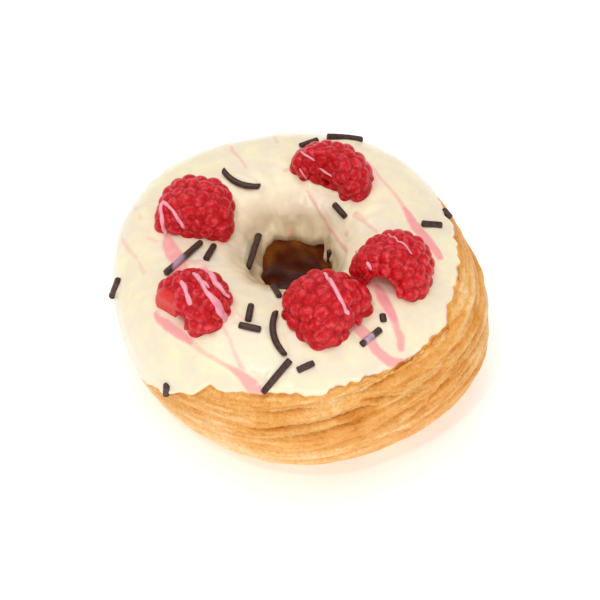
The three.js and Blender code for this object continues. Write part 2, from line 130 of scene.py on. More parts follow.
# Pink drizzle on the icing: (turn, tilt, width) along each run, and how densely it covers
ICING_TRAILS = [
    ([(178, 83, 0.9), (184, 85, 3.2), (190, 87, 4.0), (194, 89, 4.2), (199, 90, 3.4),
      (201, 86, 1.9)], 0.78),
    ([(196, 91, 3.2), (198, 96, 2.4), (200, 103, 2.1), (204, 106, 1.6)], 0.38),
    ([(190, 99, 1.3), (187, 102, 1.3)], 0.38),
    ([(179, 71, 1.1), (182, 77, 1.1)], 0.25),
    ([(215, 59, 1.1), (217, 58, 1.6), (221, 59, 2.6), (228, 60, 2.5), (233, 60, 1.9)], 0.8),
    ([(233, 60, 1.9), (239, 58, 1.2), (245, 57, 1.2), (250, 55, 1.3)], 0.38),
    ([(245, 57, 0.4), (249, 56, 1.0), (254, 53, 2.4), (257, 49, 3.2), (259, 45, 3.7),
      (260, 43, 3.4)], 0.65),
    ([(241, 79, 0.7), (246, 73, 0.7), (249, 67, 0.7), (252, 61, 1.1), (254, 57, 1.6),
      (255, 53, 2.1)], 0.42),
    ([(238, 95, 0.7), (244, 92, 0.7), (250, 89, 0.8), (252, 85, 0.8)], 0.35),
    ([(59, 74, 0.5), (55, 76, 0.7), (42, 82, 0.8), (29, 82, 0.9), (18, 82, 1.6),
      (12, 81, 2.1)], 0.5),
    ([(20, 82, 1.3), (12, 82, 2.2), (6, 81, 2.7), (-2, 76, 2.8), (-6, 72, 2.6),
      (-9, 69, 2.1)], 0.82),
    ([(299, 83, 1.3), (299, 80, 2.4), (299, 76, 3.3), (300, 69, 3.0), (300, 65, 2.6),
      (300, 60, 2.4), (302, 52, 2.6), (303, 49, 2.5), (305, 47, 2.1), (306, 47, 1.6)], 0.74),
    ([(322, 97, 1.3), (320, 93, 2.1), (318, 88, 2.9), (315, 79, 2.6), (313, 71, 2.1)], 0.88),
    ([(315, 79, 2.6), (313, 71, 2.1), (311, 65, 1.9), (310, 59, 2.1), (308, 54, 1.9)], 0.72),
    ([(174, 46, 1.1), (177, 50, 1.3), (183, 57, 0.9), (188, 62, 0.7)], 0.38),
    ([(190, 63, 0.5), (196, 65, 1.3)], 0.3),
    ([(160, 49, 1.1), (162, 54, 1.1)], 0.28),
    ([(166, 60, 1.1), (168, 62, 1.1)], 0.25),
    ([(115, 64, 1.1), (116, 71, 1.1), (115, 82, 0.8), (115, 93, 0.7)], 0.42),
    ([(97, 60, 1.1), (96, 71, 0.8)], 0.35),
    ([(78, 119, 0.8), (62, 131, 0.8), (45, 136, 0.9), (16, 136, 1.1), (4, 134, 1.5)], 0.45),
    ([(29, 114, 1.9), (26, 113, 1.6), (16, 111, 0.8), (7, 108, 0.7)], 0.45),
    ([(22, 127, 1.3), (20, 127, 1.3)], 0.42),
    ([(94, 102, 1.3), (90, 101, 1.6)], 0.45),
    ([(98, 144, 0.9), (97, 149, 1.3)], 0.35),
]

# ---- Raspberry halves, laid on the split face ----
BERRY_ROOT = 3.0  # how far a half reaches below its seat
CORE_SHARE = 0.9  # of the half's size, under the drupelets
MOUTH_SHARE = 0.34  # of the length, from the widest place back to the mouth
MOUTH_SQUARENESS = 5  # of the outline seen from above: the mouth's end is nearly straight
DRUPELET_PITCH = 1.46  # between neighbours, in radii of a drupelet
DRUPELET_INSET = 0.79  # of their centres inside the half's outline, in radii
WANDER = 0.08  # of a drupelet from its ring, in radians
HOLLOW = {"start": 1.15, "end": 0.5, "depth": 0.75, "middle": 0.3, "rise": 0.1}
DENT_REACH = 0.225  # of the width, from the middle of the mouth's end
# A smooth cut face beside the hollow: no drupelets behind and beside these shares, and its depth
BARE_FACE = {"berry": "berry_5", "forward": -0.35, "side": 0.1, "depth": 0.78}


class Berry(NamedTuple):
    """A raspberry half: the middle of its seat on the ring, its length from mouth to tip, its width
    and height, the heading and the squareness of its tip, and the radius of a drupelet. A hollow has
    a radius, lies aside and reaches further down than up. The mouth may be drawn in by a dent."""

    seat: tuple
    length: float
    width: float
    height: float
    heading: float
    tip: float
    drupelet: float
    hollow: float = 0.0
    aside: float = 0.0
    drop: float = 1.0
    dent: float = 0.0


BERRIES = {
    "berry_1": Berry((-26.6, 9.4), 18.5, 19.6, 9.4, 86, 2.8, 2.5),
    "berry_2": Berry((9.6, 23.7), 14.4, 22.5, 8.8, 58, 2.0, 2.5, hollow=1.3, dent=2.0),
    "berry_3": Berry((24.0, -10.2), 19.0, 20.0, 9.8, 64, 2.0, 2.25, hollow=3.9, drop=2.5),
    "berry_4": Berry((5.5, -24.2), 19.6, 20.5, 10.4, 140, 2.2, 2.5, hollow=1.6),
    "berry_5": Berry(
        (-24.9, -21.3), 16.2, 19.0, 8.0, 50, 2.0, 2.4, hollow=2.0, aside=-1.1, drop=2.5,
    ),
}
# Drizzle over the berries, as (x, y) in pixels of the photograph and the width along each run, with
# its crown
BERRY_RUNS = [
    ([(184, 228.2, 1.2), (180.5, 222, 1.0), (174.5, 213, 0.8), (168.2, 205.8, 0.9),
      (163.4, 202.8, 1.1), (161, 206.5, 1.0), (161.6, 214, 1.0), (162.4, 222, 1.2),
      (164, 229, 1.2), (166.5, 235, 1.0)], 0.35),
    ([(199.2, 268.7, 0.8), (206.2, 270.5, 1.1), (212.6, 276, 1.6), (216.4, 283.7, 1.7),
      (222.4, 290.7, 1.0), (229.8, 297.5, 0.8)], 0.4),
    ([(192.8, 273.5, 0.8), (200.5, 281.8, 0.9), (205.6, 290.7, 1.1), (212.6, 298.4, 1.6),
      (217, 304.7, 2.4), (220.3, 311, 2.6), (222.6, 317, 1.6), (223.2, 322, 0.7)], 0.45),
    ([(195.4, 273.5, 0.7), (204.3, 282.4, 0.7), (209, 288, 0.7)], 0.3),
    ([(180.7, 280.5, 1.0), (184.5, 286.9, 1.4), (186.5, 293.3, 0.9), (188.6, 299.6, 1.5),
      (190.9, 305, 1.8)], 0.4),
    ([(388, 233.6, 0.35), (399.3, 242, 0.4), (411.9, 254, 0.4)], 0.2),
    ([(356.2, 251, 0.9), (357.8, 253, 0.9)], 0.4),
    ([(367, 261.7, 0.9), (371.2, 270.1, 1.0)], 0.35),
    ([(324.0, 273.0, 0.9), (329.5, 279.5, 1.1), (336, 290.2, 1.0), (343.4, 304.9, 1.0),
      (349, 314.5, 1.1)], 0.4),
    ([(301, 151.6, 0.5), (308, 156.4, 0.6), (315, 160.7, 0.5)], 0.25),
    ([(319.3, 168.4, 0.5), (325, 172, 0.6), (331.9, 176.8, 0.5)], 0.25),
    ([(299.6, 168.4, 0.4), (303, 174, 0.5), (306.7, 179, 0.4)], 0.25),
]

# ---- The photograph's camera ----
PHOTO_SIZE = 600  # pixels, both ways
LENS = 85.0
SENSOR = 36.0
CAMERA_DISTANCE = 375.0
CAMERA_ELEVATION = 49.0
TARGET_HEIGHT = 20.0
TARGET_PIXEL = (299.68, 292.26)  # where the middle of the ring falls in the photograph


# ======== Small tools ========
def linear(code):
    """The linear RGBA value of an sRGB hex code."""
    channels = [int(code[at:at + 2], 16) / 255 for at in (0, 2, 4)]
    return (*(c / 12.92 if c <= 0.04045 else ((c + 0.055) / 1.055) ** 2.4 for c in channels), 1.0)


def smoothstep(low, high, value):
    """A smooth ramp from 0 at low to 1 at high."""
    share = np.clip((value - low) / (high - low), 0, 1)
    return share * share * (3 - 2 * share)


def hump(value, middle, width):
    """A smooth hump, 1 at the middle."""
    return np.exp(-((value - middle) / width) ** 2)


def unrolled(turn, radius, up):
    """Points round a circle, for noise that closes on itself."""
    return np.stack([radius * np.cos(turn), radius * np.sin(turn), up], axis=-1)


def noise_at(points, size, seed):
    """Soft noise from -1 to 1 at each point, with features of the given size along each axis."""
    spots = (np.asarray(points) / size + seed).tolist()
    return np.array([noise.noise(spot) for spot in spots])


def as_mesh(bm, name):
    """Turn a bmesh into a mesh."""
    mesh = bpy.data.meshes.new(name)
    bm.to_mesh(mesh)
    bm.free()
    return mesh


def camera_pose():
    """The place of the photograph's camera and its turn, with the shift that frames the ring."""
    tilt = math.radians(CAMERA_ELEVATION)
    back = Vector((0, -math.cos(tilt), math.sin(tilt)))
    target = Vector((*HOLE_AXIS, TARGET_HEIGHT))
    middle = PHOTO_SIZE / 2
    shift = ((middle - TARGET_PIXEL[0]) / PHOTO_SIZE, (TARGET_PIXEL[1] - middle) / PHOTO_SIZE)
    return target + back * CAMERA_DISTANCE, (-back).to_track_quat("-Z", "Y"), shift


def photo_ray(pixel):
    """The ray from the camera through a pixel of the photograph."""
    place, turned, shift = camera_pose()
    across = ((pixel[0] - PHOTO_SIZE / 2) / PHOTO_SIZE + shift[0]) * SENSOR / LENS
    upward = ((PHOTO_SIZE / 2 - pixel[1]) / PHOTO_SIZE + shift[1]) * SENSOR / LENS
    return place, turned @ Vector((across, upward, -1)).normalized()


# ======== The ring's skin ========
def superellipse(share):
    return np.maximum(0, 1 - np.abs(share) ** SQUARENESS) ** (1 / SQUARENESS)


def section(turn):
    """Half the width of the ring's section at a turn, and how far its middle is from the axis."""
    swell = sum(size * np.cos(waves * (turn - math.radians(at))) for waves, size, at in SWELLS)
    half_width = (RING_RADIUS + swell - HOLE_RADIUS) / 2
    return half_width, HOLE_RADIUS + half_width


def skin(turn, tilt, proud=0.0):
    """A point of the ring's skin. The tilt goes round the section from 0 on the outside over 90
    degrees on top to 180 in the hole, and proud is the distance outside the mean skin."""
    half_width, middle = section(turn)
    across = np.abs(np.cos(tilt) / half_width) ** SQUARENESS
    upward = np.abs(np.sin(tilt) / HALF_HEIGHT) ** SQUARENESS
    reach = (across + upward) ** (-1 / SQUARENESS) + proud
    out = middle + reach * np.cos(tilt)
    height = np.maximum(0, MID_HEIGHT + reach * np.sin(tilt))
    slide = height / RING_HEIGHT - 0.5
    x = out * np.cos(turn) + LEAN[0] * slide + HOLE_AXIS[0]
    y = out * np.sin(turn) + LEAN[1] * slide + HOLE_AXIS[1]
    return np.stack([x, y, height], axis=-1)


def tilt_at(turn, height, side):
    """The tilt at which the skin has a height, outside (side 1) or in the hole (side -1)."""
    rise = height - MID_HEIGHT
    half_width, _ = section(turn)
    return np.arctan2(rise, side * half_width * superellipse(rise / HALF_HEIGHT))


def skin_normal(turn, tilt):
    step = 0.01
    round_it = skin(turn + step, tilt) - skin(turn - step, tilt)
    over_it = skin(turn, tilt + step) - skin(turn, tilt - step)
    return Vector(np.cross(round_it, over_it)).normalized()


def skin_point(turn, tilt, proud=ICING_PROUD):
    """A point of the skin as a vector, from a turn and a tilt in degrees."""
    return Vector(skin(math.radians(turn), math.radians(tilt), proud))


def icing_height(x, y):
    """The height of the icing's top over a point of the plan, measured from the hole's axis."""
    flat = (x - LEAN[0] / 2, y - LEAN[1] / 2)
    half_width, middle = section(math.atan2(flat[1], flat[0]))
    out = (math.hypot(*flat) - middle) / half_width
    return MID_HEIGHT + HALF_HEIGHT * superellipse(out) + ICING_PROUD


def round_the_ring(turn, pairs):
    """A height that passes smoothly through (turn in degrees, height) pairs."""
    at, height = np.array(pairs, dtype=float).T
    degrees = np.degrees(turn) % 360
    following = np.clip(np.searchsorted(at, degrees, side="right"), 1, len(at) - 1)
    share = smoothstep(at[following - 1], at[following], degrees)
    return height[following - 1] + share * (height[following] - height[following - 1])


SPUN_STEPS = 40  # the ring is spun in wide strips, which are then cut into columns


def spun_ring(rows, columns):
    """A closed ring of quads, with the row and the turn of each of its vertices."""
    bm = bmesh.new()
    bmesh.ops.create_circle(bm, cap_ends=False, segments=rows, radius=1)
    upright = Matrix.Translation((2, 0, 0)) @ Matrix.Rotation(math.pi / 2, 4, "X")
    bmesh.ops.transform(bm, matrix=upright, verts=bm.verts)
    bmesh.ops.spin(
        bm, geom=bm.verts[:] + bm.edges[:], cent=(0, 0, 0), axis=(0, 0, 1),
        angle=2 * math.pi, steps=SPUN_STEPS, use_merge=True,
    )
    spun = []
    for edge in bm.edges:
        start, end = (vert.co.xy for vert in edge.verts)
        if abs(start.cross(end)) > 0.01:
            spun.append(edge)
    bmesh.ops.subdivide_edges(bm, edges=spun, cuts=columns // SPUN_STEPS - 1, use_grid_fill=True)
    bmesh.ops.recalc_face_normals(bm, faces=bm.faces)
    mesh = as_mesh(bm, "ring")
    x, y, z = read_points(mesh).T
    turn = np.arctan2(y, x)
    column = np.round(turn / (2 * math.pi) * columns)
    row = np.round((np.arctan2(z, np.hypot(x, y) - 2) / (2 * math.pi) - 0.25) * rows) % rows
    return mesh, row, column / columns * 2 * math.pi


def read_points(mesh):
    points = np.empty(3 * len(mesh.vertices))
    mesh.vertices.foreach_get("co", points)
    return points.reshape(-1, 3)


def write_points(mesh, points):
    mesh.vertices.foreach_set("co", np.asarray(points, dtype=float).ravel())
    mesh.update()


def write_layer(mesh, name, values):
    """Store a number for each vertex, for the material to read."""
    layer = mesh.attributes.new(name, "FLOAT", "POINT")
    layer.data.foreach_set("value", np.asarray(values, dtype=float))


def place_piece(name, mesh, nodes, material):
    """Make a piece of a mesh in millimetres, which rides on the body and replaces its nodes."""
    write_points(mesh, read_points(mesh) * MM)
    mesh.name = name
    mesh.shade_smooth()
    mesh.materials.clear()
    mesh.materials.append(material)
    piece = bpy.data.objects.new(name, mesh)
    bpy.context.scene.collection.objects.link(piece)
    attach(piece, BODY)
    if nodes:
        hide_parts(*nodes)
    return piece


# ======== Materials ========
def add_node(tree, kind, sockets=None, stops=None, **settings):
    """Add a shader node. A socket takes a value, or a link where it is given another socket."""
    made = tree.nodes.new(kind)
    for name, value in settings.items():
        setattr(made, name, value)
    for socket, value in (sockets or {}).items():
        if isinstance(value, bpy.types.NodeSocket):
            tree.links.new(value, made.inputs[socket])
        else:
            made.inputs[socket].default_value = value
    for at, color in stops or []:
        element = made.color_ramp.elements.new(at)
        element.color = color
    if stops:
        made.color_ramp.elements.remove(made.color_ramp.elements[0])
        made.color_ramp.elements.remove(made.color_ramp.elements[-1])
    return made


def new_material(name):
    """An empty material with its tree and the object coordinates in it."""
    material = bpy.data.materials.new(name)
    material.use_nodes = True
    tree = material.node_tree
    tree.nodes.clear()
    return material, tree, add_node(tree, "ShaderNodeTexCoord").outputs["Object"]


def fried_dough(settings):
    """Fried laminated wheat dough: golden leaves, orange-brown with painted shade in the crevices, with
    a fine blistered grain that catches the light a little where the fat has dried on it. Where the
    dough is browned deep, as in the hole, it is evenly dark, apart from painted shade that darkens it
    deeper in the hole."""
    material, tree, place = new_material("fried laminated dough")
    tone = add_node(tree, "ShaderNodeAttribute", attribute_name="tone").outputs["Fac"]
    grain = add_node(
        tree, "ShaderNodeTexNoise",
        {"Vector": place, "Scale": 1 / settings.grain_size, "Detail": 3.0, "Roughness": 0.6},
    ).outputs["Fac"]
    blotch = add_node(
        tree, "ShaderNodeTexNoise", {"Vector": place, "Scale": 1 / (4 * MM), "Detail": 2.0},
    ).outputs["Fac"]
    fine = add_node(tree, "ShaderNodeMath", {0: grain, 1: 0.7, 2: -0.35}, operation="MULTIPLY_ADD")
    soft = add_node(tree, "ShaderNodeMath", {0: blotch, 1: 0.3, 2: -0.15}, operation="MULTIPLY_ADD")
    both = add_node(
        tree, "ShaderNodeMath", {0: fine.outputs[0], 1: soft.outputs[0]}, operation="ADD",
    )
    lightness = add_node(
        tree, "ShaderNodeMath", {0: tone, 1: 2.5}, operation="MULTIPLY", use_clamp=True,
    )
    mottled = add_node(
        tree, "ShaderNodeMath", {0: lightness.outputs[0], 1: both.outputs[0]}, operation="MULTIPLY",
    )
    mixed = add_node(
        tree, "ShaderNodeMath", {0: tone, 1: mottled.outputs[0]}, operation="ADD", use_clamp=True,
    )
    color = add_node(
        tree, "ShaderNodeValToRGB", {"Fac": mixed.outputs[0]},
        [(0.0, settings.burnt_and_shade_color), (0.25, settings.recess_color),
         (0.58, settings.golden_color), (0.95, settings.pale_color)],
    )
    bump = add_node(
        tree, "ShaderNodeBump", {"Height": grain, "Strength": 0.7, "Distance": 0.3 * MM},
    )
    shader = add_node(
        tree, "ShaderNodeBsdfPrincipled",
        {"Base Color": color.outputs["Color"], "Normal": bump.outputs["Normal"], "Roughness": 0.5,
         "IOR": 1.45, "Specular IOR Level": 0.3, "Subsurface Weight": 0.08,
         "Subsurface Scale": 1.2 * MM, "Subsurface Radius": (1.0, 0.6, 0.3)},
    )
    add_node(tree, "ShaderNodeOutputMaterial", {"Surface": shader.outputs[0]})
    return material


def sugar_icing(settings):
    """Poured sugar icing: creamy white with a soft gloss and faint cloudy patches where it set
    unevenly, darker where it runs thinly into the hole over the dough, with painted shade of the hole
    there as well, and pink where drizzle lies on it."""
    material, tree, place = new_material("poured sugar icing")
    pink = add_node(tree, "ShaderNodeAttribute", attribute_name="pink").outputs["Fac"]
    thin_and_shaded = add_node(tree, "ShaderNodeAttribute", attribute_name="thin_and_shaded").outputs["Fac"]
    cloud = add_node(
        tree, "ShaderNodeTexNoise",
        {"Vector": place, "Scale": 1 / (7 * MM), "Detail": 4.0, "Roughness": 0.6},
    )
    creamy = add_node(
        tree, "ShaderNodeValToRGB", {"Fac": cloud.outputs["Fac"]},
        [(0.35, settings.cool_color), (0.5, settings.icing_color), (0.65, settings.warm_color)],
    )
    # Painted shade of the hole, on icing that runs thinner over the dough there
    thinned_and_shaded = add_node(
        tree, "ShaderNodeMix", {0: thin_and_shaded, 6: creamy.outputs["Color"], 7: settings.thin_and_shade_color},
        data_type="RGBA",
    )
    stained = add_node(
        tree, "ShaderNodeMix", {0: pink, 6: thinned_and_shaded.outputs[2], 7: settings.stain_color},
        data_type="RGBA",
    )
    ripple = add_node(
        tree, "ShaderNodeTexNoise", {"Vector": place, "Scale": 1 / (2.2 * MM), "Detail": 3.0},
    )
    bump = add_node(
        tree, "ShaderNodeBump",
        {"Height": ripple.outputs["Fac"], "Strength": 0.4, "Distance": 0.35 * MM},
    )
    shader = add_node(
        tree, "ShaderNodeBsdfPrincipled",
        {"Base Color": stained.outputs[2], "Normal": bump.outputs["Normal"], "Roughness": 0.24,
         "IOR": 1.47, "Subsurface Weight": 0.2, "Subsurface Scale": 1.2 * MM,
         "Subsurface Radius": (1.0, 0.8, 0.5)},
    )
    add_node(tree, "ShaderNodeOutputMaterial", {"Surface": shader.outputs[0]})
    return material


def raspberry_skin(settings):
    """Ripe raspberry: clear red juice under a fine wrinkled skin, darkened with painted shade beside
    the clefts and more deeply in them, with a little bloom on the round of a drupelet and a wet gloss."""
    material, tree, place = new_material("ripe raspberry")
    cleft = add_node(tree, "ShaderNodeAttribute", attribute_name="cleft").outputs["Fac"]
    inner = add_node(tree, "ShaderNodeAttribute", attribute_name="inner").outputs["Fac"]
    mottle = add_node(
        tree, "ShaderNodeTexNoise",
        {"Vector": place, "Scale": 1 / (1.3 * MM), "Detail": 4.0, "Roughness": 0.65},
    ).outputs["Fac"]
    bloom = add_node(
        tree, "ShaderNodeValToRGB", {"Fac": mottle},
        [(0.36, settings.shade_color), (0.5, settings.berry_color), (0.66, settings.bloom_color)],
    )
    # Painted shade beside the clefts
    beside = add_node(
        tree, "ShaderNodeMapRange", {"Value": cleft, "From Min": 0.1, "From Max": 0.6, "To Max": 0.75},
    )
    shaded = add_node(
        tree, "ShaderNodeMix",
        {0: beside.outputs["Result"], 6: bloom.outputs["Color"], 7: settings.shade_color},
        data_type="RGBA",
    )
    # Painted shade deep in the clefts
    line = add_node(
        tree, "ShaderNodeMapRange", {"Value": cleft, "From Min": 0.86, "From Max": 0.99, "To Max": 0.4},
    )
    cleft_shaded = add_node(
        tree, "ShaderNodeMix",
        {0: line.outputs["Result"], 6: shaded.outputs[2], 7: settings.line_color}, data_type="RGBA",
    )
    veined = add_node(
        tree, "ShaderNodeMix", {0: mottle, 6: settings.flesh_color, 7: settings.vein_color},
        data_type="RGBA",
    )
    color = add_node(
        tree, "ShaderNodeMix", {0: inner, 6: cleft_shaded.outputs[2], 7: veined.outputs[2]},
        data_type="RGBA",
    )
    wrinkle = add_node(
        tree, "ShaderNodeTexNoise", {"Vector": place, "Scale": 1 / (0.7 * MM), "Detail": 3.0},
    )
    bump = add_node(
        tree, "ShaderNodeBump",
        {"Height": wrinkle.outputs["Fac"], "Strength": 1.0, "Distance": 0.32 * MM},
    )
    shader = add_node(
        tree, "ShaderNodeBsdfPrincipled",
        {"Base Color": color.outputs[2], "Normal": bump.outputs["Normal"], "Roughness": 0.36,
         "IOR": 1.36, "Specular IOR Level": 0.2, "Subsurface Weight": 0.5,
         "Subsurface Scale": 1.6 * MM, "Subsurface Radius": (1.0, 0.1, 0.1), "Coat Weight": 0.32,
         "Coat Roughness": 0.05},
    )
    add_node(tree, "ShaderNodeOutputMaterial", {"Surface": shader.outputs[0]})
    return material


def dark_chocolate(settings):
    """Extruded chocolate vermicelli: dark and satin, with a dusty bloom, and a film of drizzle where
    a run of it crosses."""
    material, tree, place = new_material("dark chocolate")
    film = add_node(tree, "ShaderNodeAttribute", attribute_name="film").outputs["Fac"]
    dust = add_node(
        tree, "ShaderNodeTexNoise", {"Vector": place, "Scale": 1 / (0.9 * MM), "Detail": 3.0},
    ).outputs["Fac"]
    dusty = add_node(
        tree, "ShaderNodeValToRGB", {"Fac": dust},
        [(0.35, settings.chocolate_color), (0.75, settings.dust_color)],
    )
    coated = add_node(
        tree, "ShaderNodeMix", {0: film, 6: dusty.outputs["Color"], 7: settings.film_color},
        data_type="RGBA",
    )
    bump = add_node(
        tree, "ShaderNodeBump", {"Height": dust, "Strength": 0.4, "Distance": 0.12 * MM},
    )
    shader = add_node(
        tree, "ShaderNodeBsdfPrincipled",
        {"Base Color": coated.outputs[2], "Normal": bump.outputs["Normal"], "Roughness": 0.45,
         "IOR": 1.4},
    )
    add_node(tree, "ShaderNodeOutputMaterial", {"Surface": shader.outputs[0]})
    return material


def sugar_drizzle(settings):
    """Pink sugar drizzle: glossy and a little see-through, with cloudy patches."""
    material, tree, place = new_material("pink sugar drizzle")
    cloud = add_node(
        tree, "ShaderNodeTexNoise", {"Vector": place, "Scale": 1 / (1.6 * MM), "Detail": 2.0},
    )
    pink = add_node(
        tree, "ShaderNodeMix",
        {0: cloud.outputs["Fac"], 6: settings.drizzle_color, 7: settings.light_color},
        data_type="RGBA",
    )
    shader = add_node(
        tree, "ShaderNodeBsdfPrincipled",
        {"Base Color": pink.outputs[2], "Roughness": 0.28, "IOR": 1.47, "Subsurface Weight": 0.3,
         "Subsurface Scale": 0.8 * MM, "Subsurface Radius": (1.0, 0.5, 0.5)},
    )
    add_node(tree, "ShaderNodeOutputMaterial", {"Surface": shader.outputs[0]})
    return material


def studio_paper(settings):
    """Matt white studio paper on a light table, which glows faintly through it."""
    material, tree, _ = new_material("studio paper")
    shader = add_node(
        tree, "ShaderNodeBsdfPrincipled",
        {"Base Color": settings.floor_color, "Roughness": 0.9, "Emission Color": (1, 1, 1, 1),
         "Emission Strength": settings.table_glow},
    )
    add_node(tree, "ShaderNodeOutputMaterial", {"Surface": shader.outputs[0]})
    return material


# ======== Dough ========
CRUST, COVERED, IN_HOLE, FOOT = range(4)  # the parts of the section, in the order of its rows
PART_ROWS = (104, 10, 26, 8)
DOUGH_COLUMNS = 640
COVER_MARGIN = 2.5  # how far the full crust goes on under the icing, in height
TOP_MARGIN = 0.5  # how far it keeps from the top of the ring
LEAF_CRAG = 0.2
TEAR_END = 5  # degrees over which a tear opens and closes
UNDER_ICING = -0.12  # how far outside the mean skin the dough lies at the icing's edges
UNDER_SINK = 0.9  # how much deeper it lies away from them
DARKEST_CRUST = 0.24
BRINK_SHADE = 0.25  # along the icing's edge
FOOT_DENT = 0.5


def leaf_climb(turn):
    """The leaves climb towards the front right, as the strip of dough was cut."""
    return 4 * np.sin(turn - math.radians(268)) + 1.5 * np.sin(2 * (turn - math.radians(270)))


def leaf_borders(turn):
    """Heights of the leaves' borders: the foot, the crevices and the icing's edge."""
    borders = []
    for height, wander, waves, at in CREVICES:
        climb = leaf_climb(turn) * smoothstep(0, 20, height)
        borders.append(height + climb + wander * np.cos(waves * (turn - math.radians(at))))
    borders.append(round_the_ring(turn, OUTER_EDGE))
    for leaf in range(len(CREVICES) - 1, -1, -1):
        borders[leaf] = np.minimum(borders[leaf], borders[leaf + 1] - THINNEST_LEAF)
    return [np.zeros_like(turn), *borders]


def leaf_relief(turn, height, depth, fading):
    """Relief of the leaves and the crevices between them, and how deep in a crevice a point is."""
    borders = leaf_borders(turn)
    relief = np.zeros_like(turn)
    recess = np.zeros_like(turn)
    for leaf, (low, high) in enumerate(zip(borders, borders[1:])):
        thickness = high - low
        full = smoothstep(0, 3, thickness)
        from_low = np.where(leaf == 0, 9.0, height - low)
        from_high = np.where(leaf == len(CREVICES), 9.0, high - height)
        inside = np.maximum(0, np.minimum(from_low * 0.6, from_high))
        groove = fading * hump(inside, 0, 0.45 + 0.05 * thickness)
        stand = LEAF_STEP * np.cos((leaf + 2) * turn + 2.4 * leaf)
        crag = np.sin(13 * turn + 5 * leaf) * np.sin(7 * turn - 9 * (height - low) / thickness)
        body = LEAF_BULGE + stand + LEAF_CRAG * crag + LIP_RELIEF * hump(from_high, 1.3, 0.7)
        here = (height >= low) & (height < high)
        relief = np.where(here, (body * (1 - groove) - depth * groove) * full, relief)
        recess = np.where(here, groove * full, recess)
    return relief, recess


def tear_relief(turn, height, wobble):
    """Depth of the tears at each point, how near it is to the lip above one, and how near
    it is to one on either side."""
    degrees = np.degrees(turn) % 360
    sunk = np.zeros_like(turn)
    lip = np.zeros_like(turn)
    beside = np.zeros_like(turn)
    for path, depth, width in TEARS:
        at, level = np.array(path, dtype=float).T
        opening = smoothstep(at[0], at[0] + TEAR_END, degrees)
        reach = depth * opening * (1 - smoothstep(at[-1] - TEAR_END, at[-1], degrees))
        away = height - np.interp(degrees, at, level) - 0.35 * wobble
        lip = np.maximum(lip, reach * hump(away, 1.0, 0.55))
        away = np.where(away > 0, away, away * 0.6)
        sunk = np.maximum(sunk, reach * hump(away, 0, width))
        beside = np.maximum(beside, reach * hump(away, 0, 3.2 * width))
    return sunk, lip, beside


# Noise over the crust: the size of its features round the ring, outwards and upwards, and its seed
CRUST_NOISE = {
    "wobble": ((6, 6, 5), 3.1), "patch": ((17, 17, 7), 7.7), "streak": ((20, 20, 1.7), 1.3),
    "thread": ((9, 9, 0.85), 5.9), "crumb": ((1.3, 1.3, 1.0), 2.2), "fading": ((15, 15, 6), 11.2),
}
# What each of the fine layers adds to the relief, as a share of a layer's depth
LAYER_RELIEF = {"streak": 0.8, "lines": -0.55, "thread": 0.5, "hairs": -0.35}
CRUMB_RELIEF = 0.07
LIP_RELIEF = 0.2
# What each feature adds to the tone, which goes from burnt (0) to pale (1); recess, torn and
# beside are painted shade, darker in the crevices, in the tears and round them
MIDDLE_TONE = 0.63
TONE_SHARES = {
    "patch": 0.2, "wobble": 0.1, "crumb": 0.12, "smooth": 0.26, "browned": -0.07, "streak": 0.2,
    "thread": 0.14, "lines": -0.16, "hairs": -0.13, "lip": 0.18, "recess": -0.18, "torn": -0.12,
    "beside": -0.14, "pale side": 0.06, "brown side": -0.05,
}


def thin_lines(soft, width):
    """Thin lines where soft noise passes through zero."""
    return np.clip(1 - np.abs(soft) / width, 0, 1)


def crust(turn, height, settings):
    """How far the crust stands out of the mean skin, and its tone from burnt (0) to pale (1)."""
    run = height - leaf_climb(turn) * smoothstep(0, 20, height)
    around = unrolled(turn, RING_RADIUS, run)
    soft = {name: noise_at(around, size, seed) for name, (size, seed) in CRUST_NOISE.items()}
    fading = 0.25 + 0.75 * smoothstep(-0.35, 0.35, soft["fading"])

    # The strip is smooth low down on the front left, and most leafy at the right
    degrees = np.degrees(turn) % 360
    smooth = hump(degrees, 236, 34) * (1 - smoothstep(10, 24, height))
    smooth = np.maximum(smooth, 0.7 * (1 - smoothstep(1, 8, height)))
    leafy = (1 - 0.85 * smooth) * (0.8 + 0.5 * soft["patch"])

    crevices = fading * (1 - 0.7 * smooth)
    relief, recess = leaf_relief(turn, height, settings.crevice_depth / MM, crevices)
    torn, lip, beside = tear_relief(turn, height, soft["wobble"])
    # recess, torn and beside below darken the tone: painted shade in the crevices, in the tears and
    # round them
    features = {
        "patch": soft["patch"], "wobble": soft["wobble"], "crumb": soft["crumb"],
        "smooth": smooth, "browned": smoothstep(9, 16, height) * (1 - smoothstep(30, 35, height)),
        "streak": leafy * soft["streak"], "lines": leafy * thin_lines(soft["streak"], 0.14),
        "thread": leafy * soft["thread"], "hairs": leafy * thin_lines(soft["thread"], 0.18),
        "lip": lip, "recess": recess, "torn": torn, "beside": beside,
        "pale side": hump(degrees, 352, 14), "brown side": hump(degrees, 315, 16),
    }
    layers = sum(share * features[name] for name, share in LAYER_RELIEF.items())
    proud = relief - settings.tear_depth / MM * torn + LIP_RELIEF * lip
    proud += settings.layer_depth / MM * layers + CRUMB_RELIEF * soft["crumb"]
    tone = MIDDLE_TONE + sum(share * features[name] for name, share in TONE_SHARES.items())
    return proud, tone


def dough_layers(row):
    """Which part of the section each row of the ring is in, and how far along that part it is."""
    starts = np.cumsum([0, *PART_ROWS])
    part = np.searchsorted(starts, row, side="right") - 1
    return part, (row - starts[part]) / np.array(PART_ROWS)[part]


